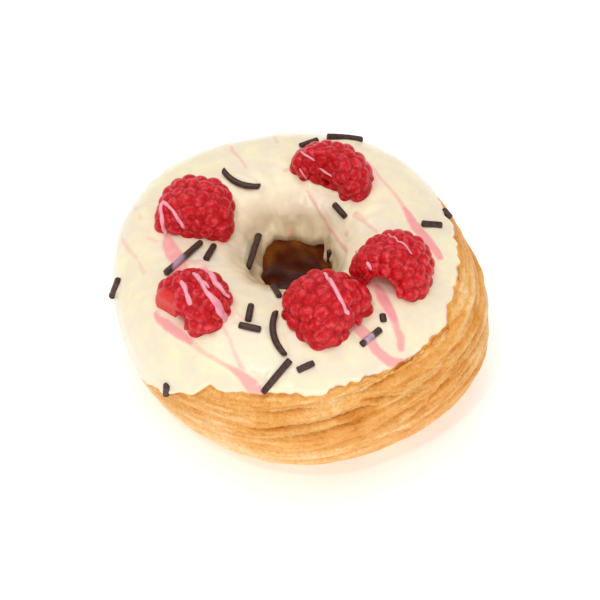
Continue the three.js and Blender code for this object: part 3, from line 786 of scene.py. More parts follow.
def section_tilt(part, share, turn):
    """The tilt of each point of the ring, from its part of the section and its way along that."""
    edge = np.minimum(round_the_ring(turn, OUTER_EDGE) + COVER_MARGIN, RING_HEIGHT - TOP_MARGIN)
    inner = round_the_ring(turn, INNER_EDGE) + COVER_MARGIN
    foot_out, foot_in = tilt_at(turn, 0 * turn, 1), tilt_at(turn, 0 * turn, -1)
    top_out, top_in = tilt_at(turn, edge, 1), tilt_at(turn, inner, -1)
    spans = {
        CRUST: (foot_out, top_out), COVERED: (top_out, top_in),
        IN_HOLE: (top_in, foot_in + 2 * math.pi), FOOT: (foot_in, foot_out),
    }
    tilt = np.zeros_like(turn)
    for index, (start, end) in spans.items():
        tilt = np.where(part == index, start + share * (end - start), tilt)
    return tilt


def dough_ring(settings):
    mesh, row, turn = spun_ring(sum(PART_ROWS), DOUGH_COLUMNS)
    part, share = dough_layers(row)
    tilt = section_tilt(part, share, turn)
    flat = skin(turn, tilt)
    height = flat[:, 2]

    # The crust sinks under the icing and is shaded along the icing's ragged edge
    relief, tone = crust(turn, height, settings)
    above_edge = height - round_the_ring(turn, OUTER_EDGE)
    beyond = smoothstep(0, 1.6, above_edge)
    sinking = (relief * (1 - beyond) + UNDER_ICING * beyond) * smoothstep(0, 0.06, share)
    brink = hump(above_edge - ragged_edge(turn), -0.3, 0.5)
    shaded = np.maximum(tone, DARKEST_CRUST) - BRINK_SHADE * brink
    covered = UNDER_ICING - UNDER_SINK * np.minimum(1, 6 * np.minimum(share, 1 - share))
    proud = np.select([part == CRUST, part == COVERED], [sinking, covered], relief)
    tone = np.where(part == CRUST, shaded, tone)

    # The hole's wall, browned deep and darker deeper in with painted shade, with ribs that run aslant
    # down it
    aslant = np.stack([flat[:, 0] + 0.6 * height, flat[:, 1], height], axis=-1)
    ribs = noise_at(aslant, (3.5, 3.5, 4), 9.4)
    wall = (0.8 * ribs - HOLE_RELIEF * np.cos(5 * turn + 20 * share)) * (1 - smoothstep(0.9, 1, share))
    proud = np.where(part == IN_HOLE, wall, proud)
    # Painted shade: the tone is lighter at the top of the hole and darker deeper in, on the deep
    # browning
    browning = 0.02 + 0.14 * ribs + 0.06 * (1 - smoothstep(0, 0.4, share))
    tone = np.where(part == IN_HOLE, browning, tone)

    # The foot, dented a little where it stood on the tray
    points = skin(turn, tilt, proud)
    dents = FOOT_DENT * np.maximum(0, noise_at(flat, 2.4, 8.8))
    points[:, 2] += np.where(part == FOOT, dents, 0)
    tone = np.where(part == FOOT, 0.42 + 0.3 * noise_at(flat, 5.0, 4.4), tone)

    write_points(mesh, points)
    write_layer(mesh, "tone", np.clip(tone, 0, 1))
    return mesh


LOOSE_FLAKES = 46
FLAKE_STEP = 0.45
FLAKE_THICKNESS = 0.14


def flake_runs():
    """Where leaves have lifted: down along each tear, up over the icing's edge in a few places, and
    here and there down along a crevice. Each is a path, how far it has lifted, and which way it
    points."""
    random = np.random.default_rng(12)
    runs = [(path, 0.3, -1) for path, _, _ in TEARS]
    runs += [([(turn, level + 0.5) for turn, level in path], 0.8, 0.9) for path in BORDER_FLAKES]
    for _ in range(LOOSE_FLAKES):
        turn, span = random.uniform(0, 345), random.uniform(4, 14)
        slope, lift = random.uniform(-0.04, 0.1), random.uniform(0.12, 0.32)
        borders = [float(border[0]) for border in leaf_borders(np.radians([turn + span / 2]))]
        level = borders[random.integers(2, len(borders))] - random.uniform(0.1, 0.7)
        fall = slope * span / 2
        runs.append(([(turn, level - fall), (turn + span, level + fall)], lift, -1))
    return runs


def crust_flakes(settings):
    """Thin ragged edges of leaves, rooted in the crust above and lifted off it below."""
    whole = bmesh.new()
    tone = whole.verts.layers.float.new("tone")
    verts, rows = [], []
    for index, (path, lift, rise) in enumerate(flake_runs()):
        at, level = np.array(path, dtype=float).T
        length = math.radians(at[-1] - at[0]) * RING_RADIUS
        steps = max(4, round(length / FLAKE_STEP))
        for vert in bmesh.ops.create_grid(whole, x_segments=steps, y_segments=3, size=1)["verts"]:
            along, across = (vert.co.x + 1) / 2, (1 - vert.co.y) / 2
            rag = noise.noise((along * length / 1.1, index * 3.7, 0))
            rag += 0.6 * noise.noise((along * length / 0.4, index * 3.7, 5))
            taper = 1 - (2 * along - 1) ** 4
            turn = at[0] + along * (at[-1] - at[0])
            height = float(np.interp(turn, at, level))
            height += rise * (across * (0.25 + taper * (0.65 + 0.4 * rag)) - 0.7)
            reach = (across * lift * (1 + 0.8 * rag) - 0.06) * taper
            reach -= 0.3 * (1 - taper) + 0.2 * (1 - across)
            fading = -0.3 if rise > 0 else 0.1
            verts.append(vert)
            rows.append((turn, height, reach, 0.42 + fading * across))
    turn, height, reach, paleness = np.array(rows).T
    turn = np.radians(turn)
    proud, color = crust(turn, height, settings)
    points = skin(turn, tilt_at(turn, height, 1), 0.8 * proud + reach)
    for vert, point, shade in zip(verts, points, np.clip(0.35 * color + paleness, 0, 1)):
        vert.co = Vector(point)
        vert[tone] = shade
    sheets = whole.faces[:]
    bmesh.ops.recalc_face_normals(whole, faces=sheets)
    bmesh.ops.solidify(whole, geom=sheets, thickness=FLAKE_THICKNESS)
    bmesh.ops.recalc_face_normals(whole, faces=whole.faces)
    return as_mesh(whole, "flakes")


# ======== Icing ========
ICING_TOP_ROWS = 150
ICING_UNDER_ROWS = 5
ICING_COLUMNS = 640
EDGE_CROWDING = 0.45  # how much closer the rows lie at the icing's edges
ICING_UNDERSIDE = -0.8
UNDER_INSET = 0.015  # how far the underside keeps back from the edges, as a share of the way over
SECTION_RADIUS = 20
EDGE_DROP = 0.75  # how far under the mean skin the edge rounds down
DRIP_LENGTH = 1.6
FOLD_HEIGHT = 1.3
CREASE_HEIGHT = 0.4
FLOW_PROUD = 0.2  # how much thicker the flow into the hole is
# Noise over the icing: the size of its features and its seed
ICING_NOISE = {
    "broad": (15.0, 4.1), "swell": (6.0, 8.3), "ripple": (2.6, 1.9),
    "folds": ((4.2, 4.2, 7.0), 3.7), "creases": ((2.0, 2.0, 4.5), 7.3),
}
PATH_MARGIN = 3.0  # how far from a path on the icing its distance is worked out
FAR_AWAY = 1e6
DRIZZLE_RISE = 0.3
SPRINKLE_TRACK = 1.2  # width of what climbs up a sprinkle


def ragged_edge(turn):
    """How far the icing's outer edge runs above or below its mean line."""
    around = unrolled(turn, RING_RADIUS, 0 * turn)
    return 0.9 * noise_at(around, 6.0, 1.1) + 0.6 * noise_at(around, 2.4, 6.2)


def path_distance(points, path, lift=0.0):
    """How far each point is outside a path of (turn, tilt, width) over the icing."""
    fine = []
    for start, end in zip(path, path[1:]):
        for share in np.linspace(0, 1, 4, endpoint=False):
            turn, tilt, width = (a + share * (b - a) for a, b in zip(start, end))
            fine.append((np.array(skin_point(turn, tilt, ICING_PROUD + lift)), width / 2))
    *last, last_width = path[-1]
    fine.append((np.array(skin_point(*last, ICING_PROUD + lift)), last_width / 2))
    nearest = np.full(len(points), FAR_AWAY)
    for (start, reach), (end, next_reach) in zip(fine, fine[1:]):
        along = end - start
        spread = np.abs(along).max() / 2 + max(reach, next_reach) + PATH_MARGIN
        near = np.flatnonzero(np.all(np.abs(points - (start + end) / 2) < spread, axis=1))
        offset = points[near] - start
        share = np.clip(offset @ along / max(1e-9, along @ along), 0, 1)
        half_width = reach + share * (next_reach - reach)
        away = np.linalg.norm(offset - share[:, None] * along, axis=1) - half_width
        nearest[near] = np.minimum(nearest[near], away)
    return nearest


def drizzle_cover(points, lift=0.0):
    """How densely the drizzle covers each point, from 0 to 1."""
    wobble = 0.14 * noise_at(points, 2.0, 6.6) + 0.08 * noise_at(points, 0.9, 2.1)
    cover = np.zeros(len(points))
    for path, density in ICING_TRAILS:
        away = path_distance(points, path, lift) + wobble
        cover = np.maximum(cover, density * (1 - smoothstep(-0.35, 0.3, away)))
    return cover


def berry_distance(points, berry):
    """Roughly how far each point is outside a berry's outline, in the plan."""
    angle = math.radians(berry.heading)
    x = points[:, 0] - berry.seat[0] - HOLE_AXIS[0]
    y = points[:, 1] - berry.seat[1] - HOLE_AXIS[1]
    along = x * math.cos(angle) + y * math.sin(angle)
    across = y * math.cos(angle) - x * math.sin(angle)
    share = np.hypot(along / (berry.length / 2), across / (berry.width / 2))
    return (share - 1) * (berry.length + berry.width) / 4


def edge_profile(share, arc, settings):
    """The bead along the icing's edges, which then rounds down onto the dough."""
    from_edge = np.minimum(share, 1 - share) * arc
    bead = settings.edge_bead / MM * hump(from_edge, 1.3, 0.9)
    bead += hump((1 - share) * arc, 2.2, 1.6) * smoothstep(0.5, 0.9, share)
    quarter = 1 - np.clip(from_edge / 0.9, 0, 1)
    fall = 1 - np.sqrt(np.clip(1 - quarter ** 2, 0, 1))
    return bead - fall * (ICING_PROUD + EDGE_DROP)


def white_icing(settings):
    mesh, row, turn = spun_ring(ICING_TOP_ROWS + ICING_UNDER_ROWS, ICING_COLUMNS)
    on_top = row < ICING_TOP_ROWS
    over = row / (ICING_TOP_ROWS - 1)
    over = over - EDGE_CROWDING * np.sin(2 * math.pi * over) / (2 * math.pi)
    under = 1 - (row - ICING_TOP_ROWS + 1) / (ICING_UNDER_ROWS + 1)
    share = np.where(on_top, over, UNDER_INSET + (1 - 2 * UNDER_INSET) * under)

    outer = tilt_at(turn, round_the_ring(turn, OUTER_EDGE) + ragged_edge(turn), 1)
    drips = noise_at(unrolled(turn, 9, 0 * turn), 4.0, 2.9)
    inner = tilt_at(turn, round_the_ring(turn, INNER_EDGE) + DRIP_LENGTH * drips, -1)
    tilt = outer + share * (inner - outer)
    flat = skin(turn, tilt, ICING_PROUD)

    # Soft unevenness, runs down the slopes, and a thick flow into the hole
    soft = {name: noise_at(flat, size, seed) for name, (size, seed) in ICING_NOISE.items()}
    runs = noise_at(unrolled(turn, 30, 14 * tilt), (3.2, 3.2, 16), 5.5)
    swell = soft["broad"] + 0.5 * soft["swell"]
    proud = ICING_PROUD + settings.unevenness / MM * (swell + 0.5 * runs + 0.3 * soft["ripple"])
    flow = FOLD_HEIGHT * soft["folds"] + CREASE_HEIGHT * soft["creases"] + FLOW_PROUD
    proud += smoothstep(0.74, 0.95, share) * flow
    proud += edge_profile(share, np.abs(inner - outer) * SECTION_RADIUS, settings)

    # The icing climbs a little up what lies on it, and the drizzle stands a little proud of it
    pink = drizzle_cover(flat)
    proud += DRIZZLE_RISE * pink
    for start, end, _ in SPRINKLES:
        away = path_distance(flat, [(*start, SPRINKLE_TRACK), (*end, SPRINKLE_TRACK)])
        proud += 0.22 * hump(away, 0, 0.7)
    for berry in BERRIES.values():
        away = berry_distance(flat, berry)
        proud += 0.3 * hump(np.maximum(0, away + 0.6), 0, 1.0)
        juice = 0.35 * hump(np.maximum(0, away), 0, 0.9) * np.clip(0.4 + swell, 0, 1)
        pink = np.maximum(pink, juice)

    write_points(mesh, skin(turn, tilt, np.where(on_top, proud, ICING_UNDERSIDE)))
    write_layer(mesh, "pink", np.clip(pink, 0, 1))
    # Where the icing runs into the hole: thinner over the dough, and darkened as painted shade of the
    # hole
    write_layer(mesh, "thin_and_shaded", smoothstep(0.72, 0.95, share) * (0.68 - 0.5 * soft["folds"]))
    return mesh


# ======== Raspberry halves ========
BERRY_DETAIL = 7  # subdivisions of the sphere that a half starts from
CLEFT_ROUNDING = 0.13


def lengthways(length, forward):
    return length * np.where(forward > 0, 1 - MOUTH_SHARE, MOUTH_SHARE)


def outline(out, tip):
    """How far out a direction meets a half of size one, squarer at its mouth than at its tip."""
    x, y, z = np.abs(out).T
    power = np.where(out[..., 0] < 0, MOUTH_SQUARENESS, tip)
    return 1 / np.hypot((x ** power + y ** power) ** (1 / power), z)


def drupelet_centres(name):
    """Centres of the drupelets, in rings round the tip, each ring half a step on from the last."""
    berry = BERRIES[name]
    half_width = berry.width / 2
    inset = DRUPELET_INSET * berry.drupelet
    pitch = DRUPELET_PITCH * berry.drupelet
    girth = (half_width + berry.height) / 2
    centres = []
    for ring in range(round(math.pi * girth / pitch) + 1):
        polar = ring * pitch / girth
        count = max(1, round(2 * math.pi * math.sin(polar) * girth / pitch))
        for step in range(count):
            angle = (step + 0.5 * (ring % 2)) / count * 2 * math.pi
            bearing = polar + WANDER * math.sin(7 * ring + 11 * step)
            spread = math.sin(bearing)
            out = np.array([math.cos(bearing), spread * math.cos(angle), spread * math.sin(angle)])
            out *= outline(out, berry.tip)
            behind = out[0] < BARE_FACE["forward"] and out[1] > BARE_FACE["side"]
            if name == BARE_FACE["berry"] and behind:
                continue
            size = np.array([float(lengthways(berry.length, out[0])), half_width, berry.height])
            centres.append(out * (size - inset))
    return np.array(centres)


def berry_reach(name, rays):
    """How far the half's skin is along each ray from its seat: to the outermost drupelet or to the
    core, with rounded clefts. The second result is how far the next drupelet lies below."""
    berry = BERRIES[name]
    core = np.stack([
        lengthways(berry.length, rays[:, 0]) * CORE_SHARE,
        np.full(len(rays), berry.width / 2 * CORE_SHARE),
        np.full(len(rays), berry.height * CORE_SHARE),
    ], axis=-1)
    best = outline(rays / core, berry.tip)
    second = best - 1.0
    for index, centre in enumerate(drupelet_centres(name)):
        radius = berry.drupelet * (1 + 0.05 * math.sin(2.4 * index + berry.length))
        along = rays @ centre
        inside = along ** 2 - centre @ centre + radius ** 2
        reach = np.where(inside > 0, along + np.sqrt(np.maximum(0, inside)), 0)
        second = np.maximum(second, np.minimum(best, reach))
        best = np.maximum(best, reach)
    step = best - second
    best = best + CLEFT_ROUNDING * np.log1p(np.exp(-step / CLEFT_ROUNDING))
    return np.minimum(best, BERRY_ROOT / np.maximum(1e-6, -rays[:, 2])), step


def trim_mouth(name, points):
    """Cut the face beside the hollow and draw in the middle of the mouth's end. Returns how much each
    point lies on the cut face."""
    berry = BERRIES[name]
    mouth = MOUTH_SHARE * berry.length
    x, y, _ = points.T.copy()
    back = -x / mouth
    face = np.zeros(len(points))
    if name == BARE_FACE["berry"]:
        face = smoothstep(0.45, 0.6, back) * smoothstep(0.04, 0.14, 2 * y / berry.width)
        points[:, 0] = np.where(y > 0, np.maximum(x, -BARE_FACE["depth"] * mouth), x)
    points[:, 0] += berry.dent * hump(y, 0, DENT_REACH * berry.width) * smoothstep(0.1, 1, back)
    return face


def berry_half(name):
    """A half with its drupelets, as a mesh in millimetres with its clefts marked."""
    berry = BERRIES[name]
    bm = bmesh.new()
    bmesh.ops.create_icosphere(bm, subdivisions=BERRY_DETAIL, radius=1)
    mesh = as_mesh(bm, name)
    rays = read_points(mesh)
    rays /= np.linalg.norm(rays, axis=1, keepdims=True)
    reach, step = berry_reach(name, rays)
    points = rays * reach[:, None]
    face = trim_mouth(name, points)
    write_points(mesh, points)
    write_layer(mesh, "cleft", hump(step, 0, 0.4) * (1 - face))
    write_layer(mesh, "inner", face)
    if berry.hollow > 0:
        mesh = hollow_out(mesh, berry)
    x, y = berry.seat
    laid = Matrix.Translation((x + HOLE_AXIS[0], y + HOLE_AXIS[1], icing_height(x, y)))
    laid @= Matrix.Rotation(math.radians(berry.heading), 4, "Z")
    laid @= Matrix.Translation(((MOUTH_SHARE - 0.5) * berry.length, 0, 0))
    mesh.transform(laid)
    return mesh


def rise_of(edge):
    return abs(edge.verts[0].co.z - edge.verts[1].co.z)


def hollow_out(mesh, berry):
    """Cut the hollow that the core has left, from the mouth towards the tip."""
    bm = bmesh.new()
    bmesh.ops.create_cone(
        bm, cap_ends=True, segments=48, radius1=HOLLOW["start"] * berry.hollow,
        radius2=HOLLOW["end"] * berry.hollow, depth=HOLLOW["depth"] * berry.length,
    )
    sides = [edge for edge in bm.edges if rise_of(edge) > 0.1]
    bmesh.ops.subdivide_edges(bm, edges=sides, cuts=20, use_grid_fill=True)
    inner = bm.verts.layers.float.new("inner")
    cleft = bm.verts.layers.float.new("cleft")
    for vert in bm.verts:
        vert.co *= 1 + 0.07 * noise.noise(vert.co * 0.8)
        vert[inner] = 1.0
        vert[cleft] = 0.3
    turned = Matrix.Rotation(math.pi / 2, 3, "Y")
    bmesh.ops.rotate(bm, verts=bm.verts, cent=(0, 0, 0), matrix=turned)
    below = [vert for vert in bm.verts if vert.co.z < 0]
    bmesh.ops.scale(bm, vec=(1, 1, berry.drop), verts=below)
    forward = (HOLLOW["middle"] - MOUTH_SHARE) * berry.length
    middle = (forward, berry.aside, HOLLOW["rise"] * berry.height)
    bmesh.ops.translate(bm, verts=bm.verts, vec=middle)
    bmesh.ops.recalc_face_normals(bm, faces=bm.faces)
    cutter_mesh = as_mesh(bm, "hollow")
    body = bpy.data.objects.new("half", mesh)
    cutter = bpy.data.objects.new("hollow", cutter_mesh)
    for item in (body, cutter):
        bpy.context.scene.collection.objects.link(item)
    cut = body.modifiers.new("hollow", "BOOLEAN")
    cut.operation = "DIFFERENCE"
    cut.solver = "EXACT"
    cut.object = cutter
    graph = bpy.context.evaluated_depsgraph_get()
    made = bpy.data.meshes.new_from_object(body.evaluated_get(graph))
    for item in (body, cutter):
        bpy.data.objects.remove(item)
    return made


# ======== Sprinkles ========
def rod(segments, radius, length, bevel, cuts):
    """A closed rod along Z with rounded rims, cut into even lengths between them."""
    bm = bmesh.new()
    bmesh.ops.create_cone(
        bm, cap_ends=True, segments=segments, radius1=radius, radius2=radius, depth=length,
    )
    rims = [edge for edge in bm.edges if rise_of(edge) < 0.1 * length]
    if bevel > 0:
        bmesh.ops.bevel(
            bm, geom=rims, offset=bevel, segments=3, profile=0.5, affect="EDGES", material=-1,
        )
    sides = [edge for edge in bm.edges if rise_of(edge) > 0.4 * length]
    bmesh.ops.subdivide_edges(bm, edges=sides, cuts=cuts, use_grid_fill=True)
    return bm


def add_sprinkle(whole, start, end, bend, settings, index):
    """Add one sprinkle that rests on the icing between two places."""
    radius = settings.sprinkle_radius / MM
    ends = [skin_point(*start), skin_point(*end)]
    turn, tilt = ((a + b) / 2 for a, b in zip(start, end))
    along = (ends[1] - ends[0]).normalized()
    length = (ends[1] - ends[0]).length
    up = skin_normal(math.radians(turn), math.radians(tilt))
    up = (up - along * up.dot(along)).normalized()
    across = along.cross(up)
    rest = max(point.dot(up) for point in (*ends, skin_point(turn, tilt)))
    centre = (ends[0] + ends[1]) / 2
    centre += up * (rest + radius - settings.sprinkle_sink / MM - centre.dot(up))

    cuts = max(4, round(length / SPRINKLE_STEP))
    bm = rod(SPRINKLE_SIDES, radius, length, SPRINKLE_RIM * radius, cuts)
    for vert in bm.verts:
        share = 2 * vert.co.z / length
        angle = math.atan2(vert.co.y, vert.co.x)
        uneven = noise.noise((share * length / 2, index * 7.1, angle))
        out = math.hypot(vert.co.x, vert.co.y)
        out *= 1 + 0.05 * math.sin(3 * angle + index) + 0.06 * uneven
        out *= 1 - 0.12 * max(0, share * math.sin(5 * index)) ** 2
        sideways = math.cos(angle) * out + bend * (1 - share ** 2)
        vert.co = centre + along * vert.co.z + across * sideways + up * (math.sin(angle) * out)
    bmesh.ops.recalc_face_normals(bm, faces=bm.faces)
    join(whole, bm)


def join(whole, bm):
    """Move all of one bmesh into another."""
    mesh = as_mesh(bm, "part")
    whole.from_mesh(mesh)
    bpy.data.meshes.remove(mesh)


def chocolate_sprinkles(settings):
    whole = bmesh.new()
    for index, (start, end, bend) in enumerate(SPRINKLES):
        add_sprinkle(whole, start, end, bend, settings, index)
    mesh = as_mesh(whole, "sprinkles")
    points = read_points(mesh)
    film = smoothstep(0.2, 0.75, drizzle_cover(points, SPRINKLE_TOP))
    write_layer(mesh, "film", film * (0.8 + 0.5 * noise_at(points, 1.6, 4.7)))
    return mesh


# ======== Drizzle ========
RIBBON_STEP = 0.3
RIBBON_SIDES = 12
FILM_LIFT = 0.05
RIBBON_ROOT = 0.4


def ground_of(names):
    """One tree for the surfaces of the named pieces, in millimetres, to lay drizzle on."""
    bm = bmesh.new()
    for name in names:
        bm.from_mesh(bpy.data.objects[name].data)
    bmesh.ops.scale(bm, vec=(1 / MM, 1 / MM, 1 / MM), verts=bm.verts)
    tree = BVHTree.FromBMesh(bm)
    bm.free()
    return tree


def smooth_route(points):
    """A finely stepped curve through the points."""
    ends = [points[0] * 2 - points[1], *points, points[-1] * 2 - points[-2]]
    route = []
    for before, start, end, after in zip(ends, ends[1:], ends[2:], ends[3:]):
        steps = max(1, round((end - start).length / RIBBON_STEP))
        for step in range(steps):
            t = step / steps
            bend = (2 * before - 5 * start + 4 * end - after) * t ** 2
            twist = (3 * start - before - 3 * end + after) * t ** 3
            route.append(0.5 * (2 * start + (end - before) * t + bend + twist))
    route.append(points[-1])
    return route


def averaged(items, reach):
    """Each vector averaged with its neighbours on both sides."""
    result = []
    for index in range(len(items)):
        near = items[max(0, index - reach):index + reach + 1]
        result.append(sum(near, Vector()) / len(near))
    return result


def nearest_step(route, point):
    """The step of a route that is nearest to a point."""
    return min(range(len(route)), key=lambda step: (route[step] - point).length)


def add_ribbon(whole, ground, run, crown):
    """Lay a run of drizzle, given as places with the width there, over the ground."""
    points = [point for point, _ in run]
    route = smooth_route(points)
    distance = np.cumsum([0, *((b - a).length for a, b in zip(route, route[1:]))])
    marks = [float(distance[nearest_step(route, point)]) for point in points]
    widths = np.interp(distance, marks, [width for _, width in run])
    facing = averaged([ground.find_nearest(point)[1] for point in route], 6)
    last = len(route) - 1
    steps = []
    for step, (point, normal) in enumerate(zip(route, facing)):
        up = normal.normalized()
        side = (route[min(last, step + 2)] - route[max(0, step - 2)]).cross(up).normalized()
        width = widths[step]
        ending = min(distance[step], distance[-1] - distance[step])
        spread = 0.5 * width * (0.3 + 0.7 * math.sqrt(min(1, ending / (0.5 * width + 0.2))))
        spread *= 1 + 0.12 * noise.noise(point * 0.6)
        levels = []
        for column in range(-2, 3):
            spot = point + side * (spread * column / 2)
            hit, _, _, _ = ground.ray_cast(spot + up * 3, -up, 6)
            levels.append((hit - point).dot(up) if hit else 0.0)
        steps.append((point, up, side, spread, levels, min(1, 0.35 + ending)))
    bm = rod(RIBBON_SIDES, 1, 2, 0, last - 1)
    for vert in bm.verts:
        step = round((vert.co.z + 1) / 2 * last)
        point, up, side, spread, _, rise = steps[step]
        near = [levels for _, _, _, _, levels, _ in steps[max(0, step - 1):step + 2]]
        smoothed = [0.5 * max(column) + 0.5 * sum(column) / len(near) for column in zip(*near)]
        level = np.interp(vert.co.x * 2, range(-2, 3), smoothed)
        crest = vert.co.y
        lift = FILM_LIFT + crown * rise * crest if crest > 0 else crest * RIBBON_ROOT
        vert.co = point + side * (spread * vert.co.x) + up * (level + lift)
    bmesh.ops.recalc_face_normals(bm, faces=bm.faces)
    join(whole, bm)


def photo_point(ground, pixel):
    """The place on the ground that falls on a pixel of the photograph."""
    hit, _, _, _ = ground.ray_cast(*photo_ray(pixel))
    if hit is None:
        raise RuntimeError(f"pixel {pixel} of the drizzle misses the doughnut")
    return hit


def pink_drizzle():
    ground = ground_of(["white_icing", *BERRY_PIECES.values()])
    whole = bmesh.new()
    for run, crown in BERRY_RUNS:
        add_ribbon(whole, ground, [(photo_point(ground, (x, y)), width) for x, y, width in run], crown)
    return as_mesh(whole, "drizzle")


BERRY_PIECES = {name: name.replace("berry", "raspberry") for name in BERRIES}


# ======== Settings that a user would change ========
def color_property(name, description, code):
    return FloatVectorProperty(
        name=name, description=description, subtype="COLOR", size=4, min=0, max=1,
        default=linear(code),
    )


def length_property(name, description, size):
    """A length, given in millimetres."""
    return FloatProperty(name=name, description=description, default=size * MM, unit="LENGTH")


def power_property(name, description, watts):
    return FloatProperty(name=name, description=description, default=watts, unit="POWER")


class DoughSettings(bpy.types.PropertyGroup):
    """Sizes and colours of the dough"""

    crevice_depth: length_property("Crevice depth", "Depth of the crevices between leaves", 0.5)
    tear_depth: length_property("Tear depth", "Depth of the tears in the front", 0.6)
    layer_depth: length_property("Layer depth", "Depth of the fine layers in a leaf", 0.3)
    grain_size: length_property("Grain size", "Size of the crust's fine blisters", 0.6)
    # Deep browning of the hole, darkened further as painted shade of the hole
    burnt_and_shade_color: color_property("Burnt colour", "Deepest browning, in the hole", "762C06")
    # Orange brown that painted shade in the crevices takes the tone towards; also the colour of browner
    # dough
    recess_color: color_property("Crevice colour", "Orange brown of the crevices", "DB8B30")
    golden_color: color_property("Golden colour", "Colour of most of the crust", "F0B262")
    pale_color: color_property("Pale colour", "Colour of the least browned dough", "FCDFAE")


class IcingSettings(bpy.types.PropertyGroup):
    """Sizes and colours of the icing"""

    unevenness: length_property("Unevenness", "Height of the icing's soft waves", 0.36)
    edge_bead: length_property("Edge bead", "Height of the bead along the icing's edge", 0.25)
    icing_color: color_property("Icing colour", "Main colour of the icing", "F7E8C9")
    cool_color: color_property("Cool patches", "Colour of the thinner patches", "F2E4CC")
    warm_color: color_property("Warm patches", "Colour of the thicker patches", "FCF0C9")
    # Icing running thinner over the dough in the hole, darkened as painted shade of the hole
    thin_and_shade_color: color_property("Thin icing", "Colour where it runs into the hole", "C2A87A")
    stain_color: color_property("Drizzle colour", "Colour of the drizzle on the icing", "F6929B")


class BerrySettings(bpy.types.PropertyGroup):
    """Colours of the raspberries"""

    berry_color: color_property("Berry colour", "Main colour of a drupelet", "CE0818")
    bloom_color: color_property("Bloom colour", "Bloom on a drupelet", "E64854")
    # Painted shade beside a cleft, and the darkest of the mottling
    shade_color: color_property("Shade colour", "Colour beside a cleft", "BA0410")
    # Painted shade deep in a cleft
    line_color: color_property("Cleft colour", "Deep red in a cleft", "9C000C")
    flesh_color: color_property("Flesh colour", "Colour of the hollow and of the cut face", "D81A1E")
    vein_color: color_property("Vein colour", "Pale veins in the flesh", "E2463E")


class SprinkleSettings(bpy.types.PropertyGroup):
    """Sizes and colours of the sprinkles"""

    sprinkle_radius: length_property("Radius", "Radius of a sprinkle", 0.85)
    sprinkle_sink: length_property("Sink", "How deep a sprinkle sits in the icing", 0.35)
    chocolate_color: color_property("Chocolate colour", "Main colour of a sprinkle", "38201A")
    dust_color: color_property("Dust colour", "Pale bloom on a sprinkle", "553A32")
    film_color: color_property("Film colour", "Colour of a film of drizzle over chocolate", "C3A4B6")


class DrizzleSettings(bpy.types.PropertyGroup):
    """Colours of the drizzle"""

    drizzle_color: color_property("Drizzle colour", "Main colour of the drizzle", "F58FA2")
    light_color: color_property("Light colour", "Colour of the drizzle where it is cloudy", "FAB4BE")


class StageSettings(bpy.types.PropertyGroup):
    """Light and floor"""

    floor_color: color_property("Floor colour", "Colour of the studio paper", "FAFAFA")
    table_glow: FloatProperty(
        name="Table glow", description="How strongly the paper is lit from below", default=0.25,
    )
    key_power: power_property("Key light", "Power of the overhead softbox", 5.0)
    fill_power: power_property("Fill light", "Power of the front softbox", 3.9)
    spark_power: power_property("Spark light", "Power of the bare lamp", 1.3)
    sky_strength: FloatProperty(
        name="Sky", description="Strength of the light from all round", default=0.55,
    )


# ======== Operators ========
class PASTRY_OT_dough(bpy.types.Operator):
    """Make the laminated ring and the flakes that have lifted off its crust"""

    bl_idname = "pastry.dough"
    bl_label = "Dough ring"

    def execute(self, context):
        settings = context.scene.pastry_dough
        material = fried_dough(settings)
        place_piece("dough_ring", dough_ring(settings), ["dough"], material)
        place_piece("crust_flakes", crust_flakes(settings), ["dough"], material)
        return {"FINISHED"}


class PASTRY_OT_icing(bpy.types.Operator):
    """Pour the white icing over the ring"""

    bl_idname = "pastry.icing"
    bl_label = "White icing"

    def execute(self, context):
        settings = context.scene.pastry_icing
        place_piece("white_icing", white_icing(settings), ["icing"], sugar_icing(settings))
        return {"FINISHED"}


class PASTRY_OT_raspberries(bpy.types.Operator):
    """Lay the raspberry halves on the icing"""

    bl_idname = "pastry.raspberries"
    bl_label = "Raspberry halves"

    def execute(self, context):
        material = raspberry_skin(context.scene.pastry_berries)
        for node, name in BERRY_PIECES.items():
            place_piece(name, berry_half(node), [node], material)
        return {"FINISHED"}


class PASTRY_OT_sprinkles(bpy.types.Operator):
    """Scatter the chocolate sprinkles where they lie"""

    bl_idname = "pastry.sprinkles"
    bl_label = "Chocolate sprinkles"

    def execute(self, context):
        settings = context.scene.pastry_sprinkles
        mesh = chocolate_sprinkles(settings)
        place_piece("chocolate_sprinkles", mesh, ["icing"], dark_chocolate(settings))
        return {"FINISHED"}


class PASTRY_OT_drizzle(bpy.types.Operator):
    """Trail the pink drizzle over the icing and the berries"""

    bl_idname = "pastry.drizzle"
    bl_label = "Pink drizzle"

    def execute(self, context):
        material = sugar_drizzle(context.scene.pastry_drizzle)
        place_piece("pink_drizzle", pink_drizzle(), ["icing"], material)
        return {"FINISHED"}


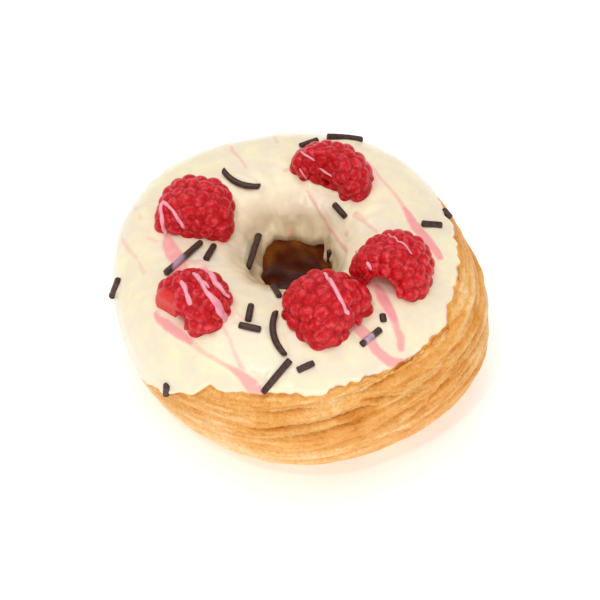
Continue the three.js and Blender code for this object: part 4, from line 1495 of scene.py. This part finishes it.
class PASTRY_OT_stage(bpy.types.Operator):
    """Make the floor, the lights and the camera"""

    bl_idname = "pastry.stage"
    bl_label = "Studio"

    def execute(self, context):
        settings = context.scene.pastry_stage
        scene = context.scene
        bm = bmesh.new()
        bmesh.ops.create_grid(bm, x_segments=1, y_segments=1, size=3)
        mesh = as_mesh(bm, "floor")
        mesh.materials.append(studio_paper(settings))
        floor = bpy.data.objects.new("floor", mesh)
        scene.collection.objects.link(floor)

        add_softbox(scene, "key", settings.key_power, 0.9, (-0.15, 0.2, 1.1))
        add_softbox(scene, "fill", settings.fill_power, 0.8, (0.3, -1.1, 0.35))
        add_softbox(scene, "spark", settings.spark_power, 0.06, (-0.25, -0.35, 1.0))

        world = bpy.data.worlds.new("studio air")
        world.use_nodes = True
        world.node_tree.nodes["Background"].inputs["Color"].default_value = (1, 1, 1, 1)
        world.node_tree.nodes["Background"].inputs["Strength"].default_value = settings.sky_strength
        scene.world = world
        scene.view_settings.view_transform = "Standard"

        place, turned, shift = camera_pose()
        data = bpy.data.cameras.new("camera")
        data.lens, data.sensor_width = LENS, SENSOR
        data.shift_x, data.shift_y = shift
        camera = bpy.data.objects.new("camera", data)
        camera.location = place * MM
        camera.rotation_mode = "QUATERNION"
        camera.rotation_quaternion = turned
        scene.collection.objects.link(camera)
        scene.camera = camera
        return {"FINISHED"}


def add_softbox(scene, name, power, size, place):
    """A square light that faces the doughnut."""
    data = bpy.data.lights.new(name, "AREA")
    data.energy = power
    data.size = size
    light = bpy.data.objects.new(name, data)
    light.location = place
    light.rotation_mode = "QUATERNION"
    light.rotation_quaternion = (-Vector(place)).to_track_quat("-Z", "Y")
    scene.collection.objects.link(light)


SETTINGS = {
    "pastry_dough": DoughSettings,
    "pastry_icing": IcingSettings,
    "pastry_berries": BerrySettings,
    "pastry_sprinkles": SprinkleSettings,
    "pastry_drizzle": DrizzleSettings,
    "pastry_stage": StageSettings,
}
OPERATORS = [
    PASTRY_OT_dough,
    PASTRY_OT_icing,
    PASTRY_OT_raspberries,
    PASTRY_OT_sprinkles,
    PASTRY_OT_drizzle,
    PASTRY_OT_stage,
]


class PASTRY_PT_sidebar(bpy.types.Panel):
    """Lists the pieces and their settings"""

    bl_label = "Croissant doughnut"
    bl_idname = "PASTRY_PT_sidebar"
    bl_space_type = "VIEW_3D"
    bl_region_type = "UI"
    bl_category = "Pastry"

    def draw(self, context):
        for operator, group in zip(OPERATORS, SETTINGS):
            box = self.layout.box()
            box.operator(operator.bl_idname)
            settings = getattr(context.scene, group)
            for name in SETTINGS[group].__annotations__:
                box.prop(settings, name)


def register():
    for item in (*SETTINGS.values(), *OPERATORS, PASTRY_PT_sidebar):
        bpy.utils.register_class(item)
    for name, group in SETTINGS.items():
        setattr(bpy.types.Scene, name, PointerProperty(type=group))


def unregister():
    for name in SETTINGS:
        delattr(bpy.types.Scene, name)
    for item in (PASTRY_PT_sidebar, *reversed(OPERATORS), *reversed(list(SETTINGS.values()))):
        bpy.utils.unregister_class(item)


def main():
    register()
    bpy.ops.pastry.dough()
    bpy.ops.pastry.icing()
    bpy.ops.pastry.raspberries()
    bpy.ops.pastry.sprinkles()
    bpy.ops.pastry.drizzle()
    bpy.ops.pastry.stage()


if __name__ == "__main__":
    main()
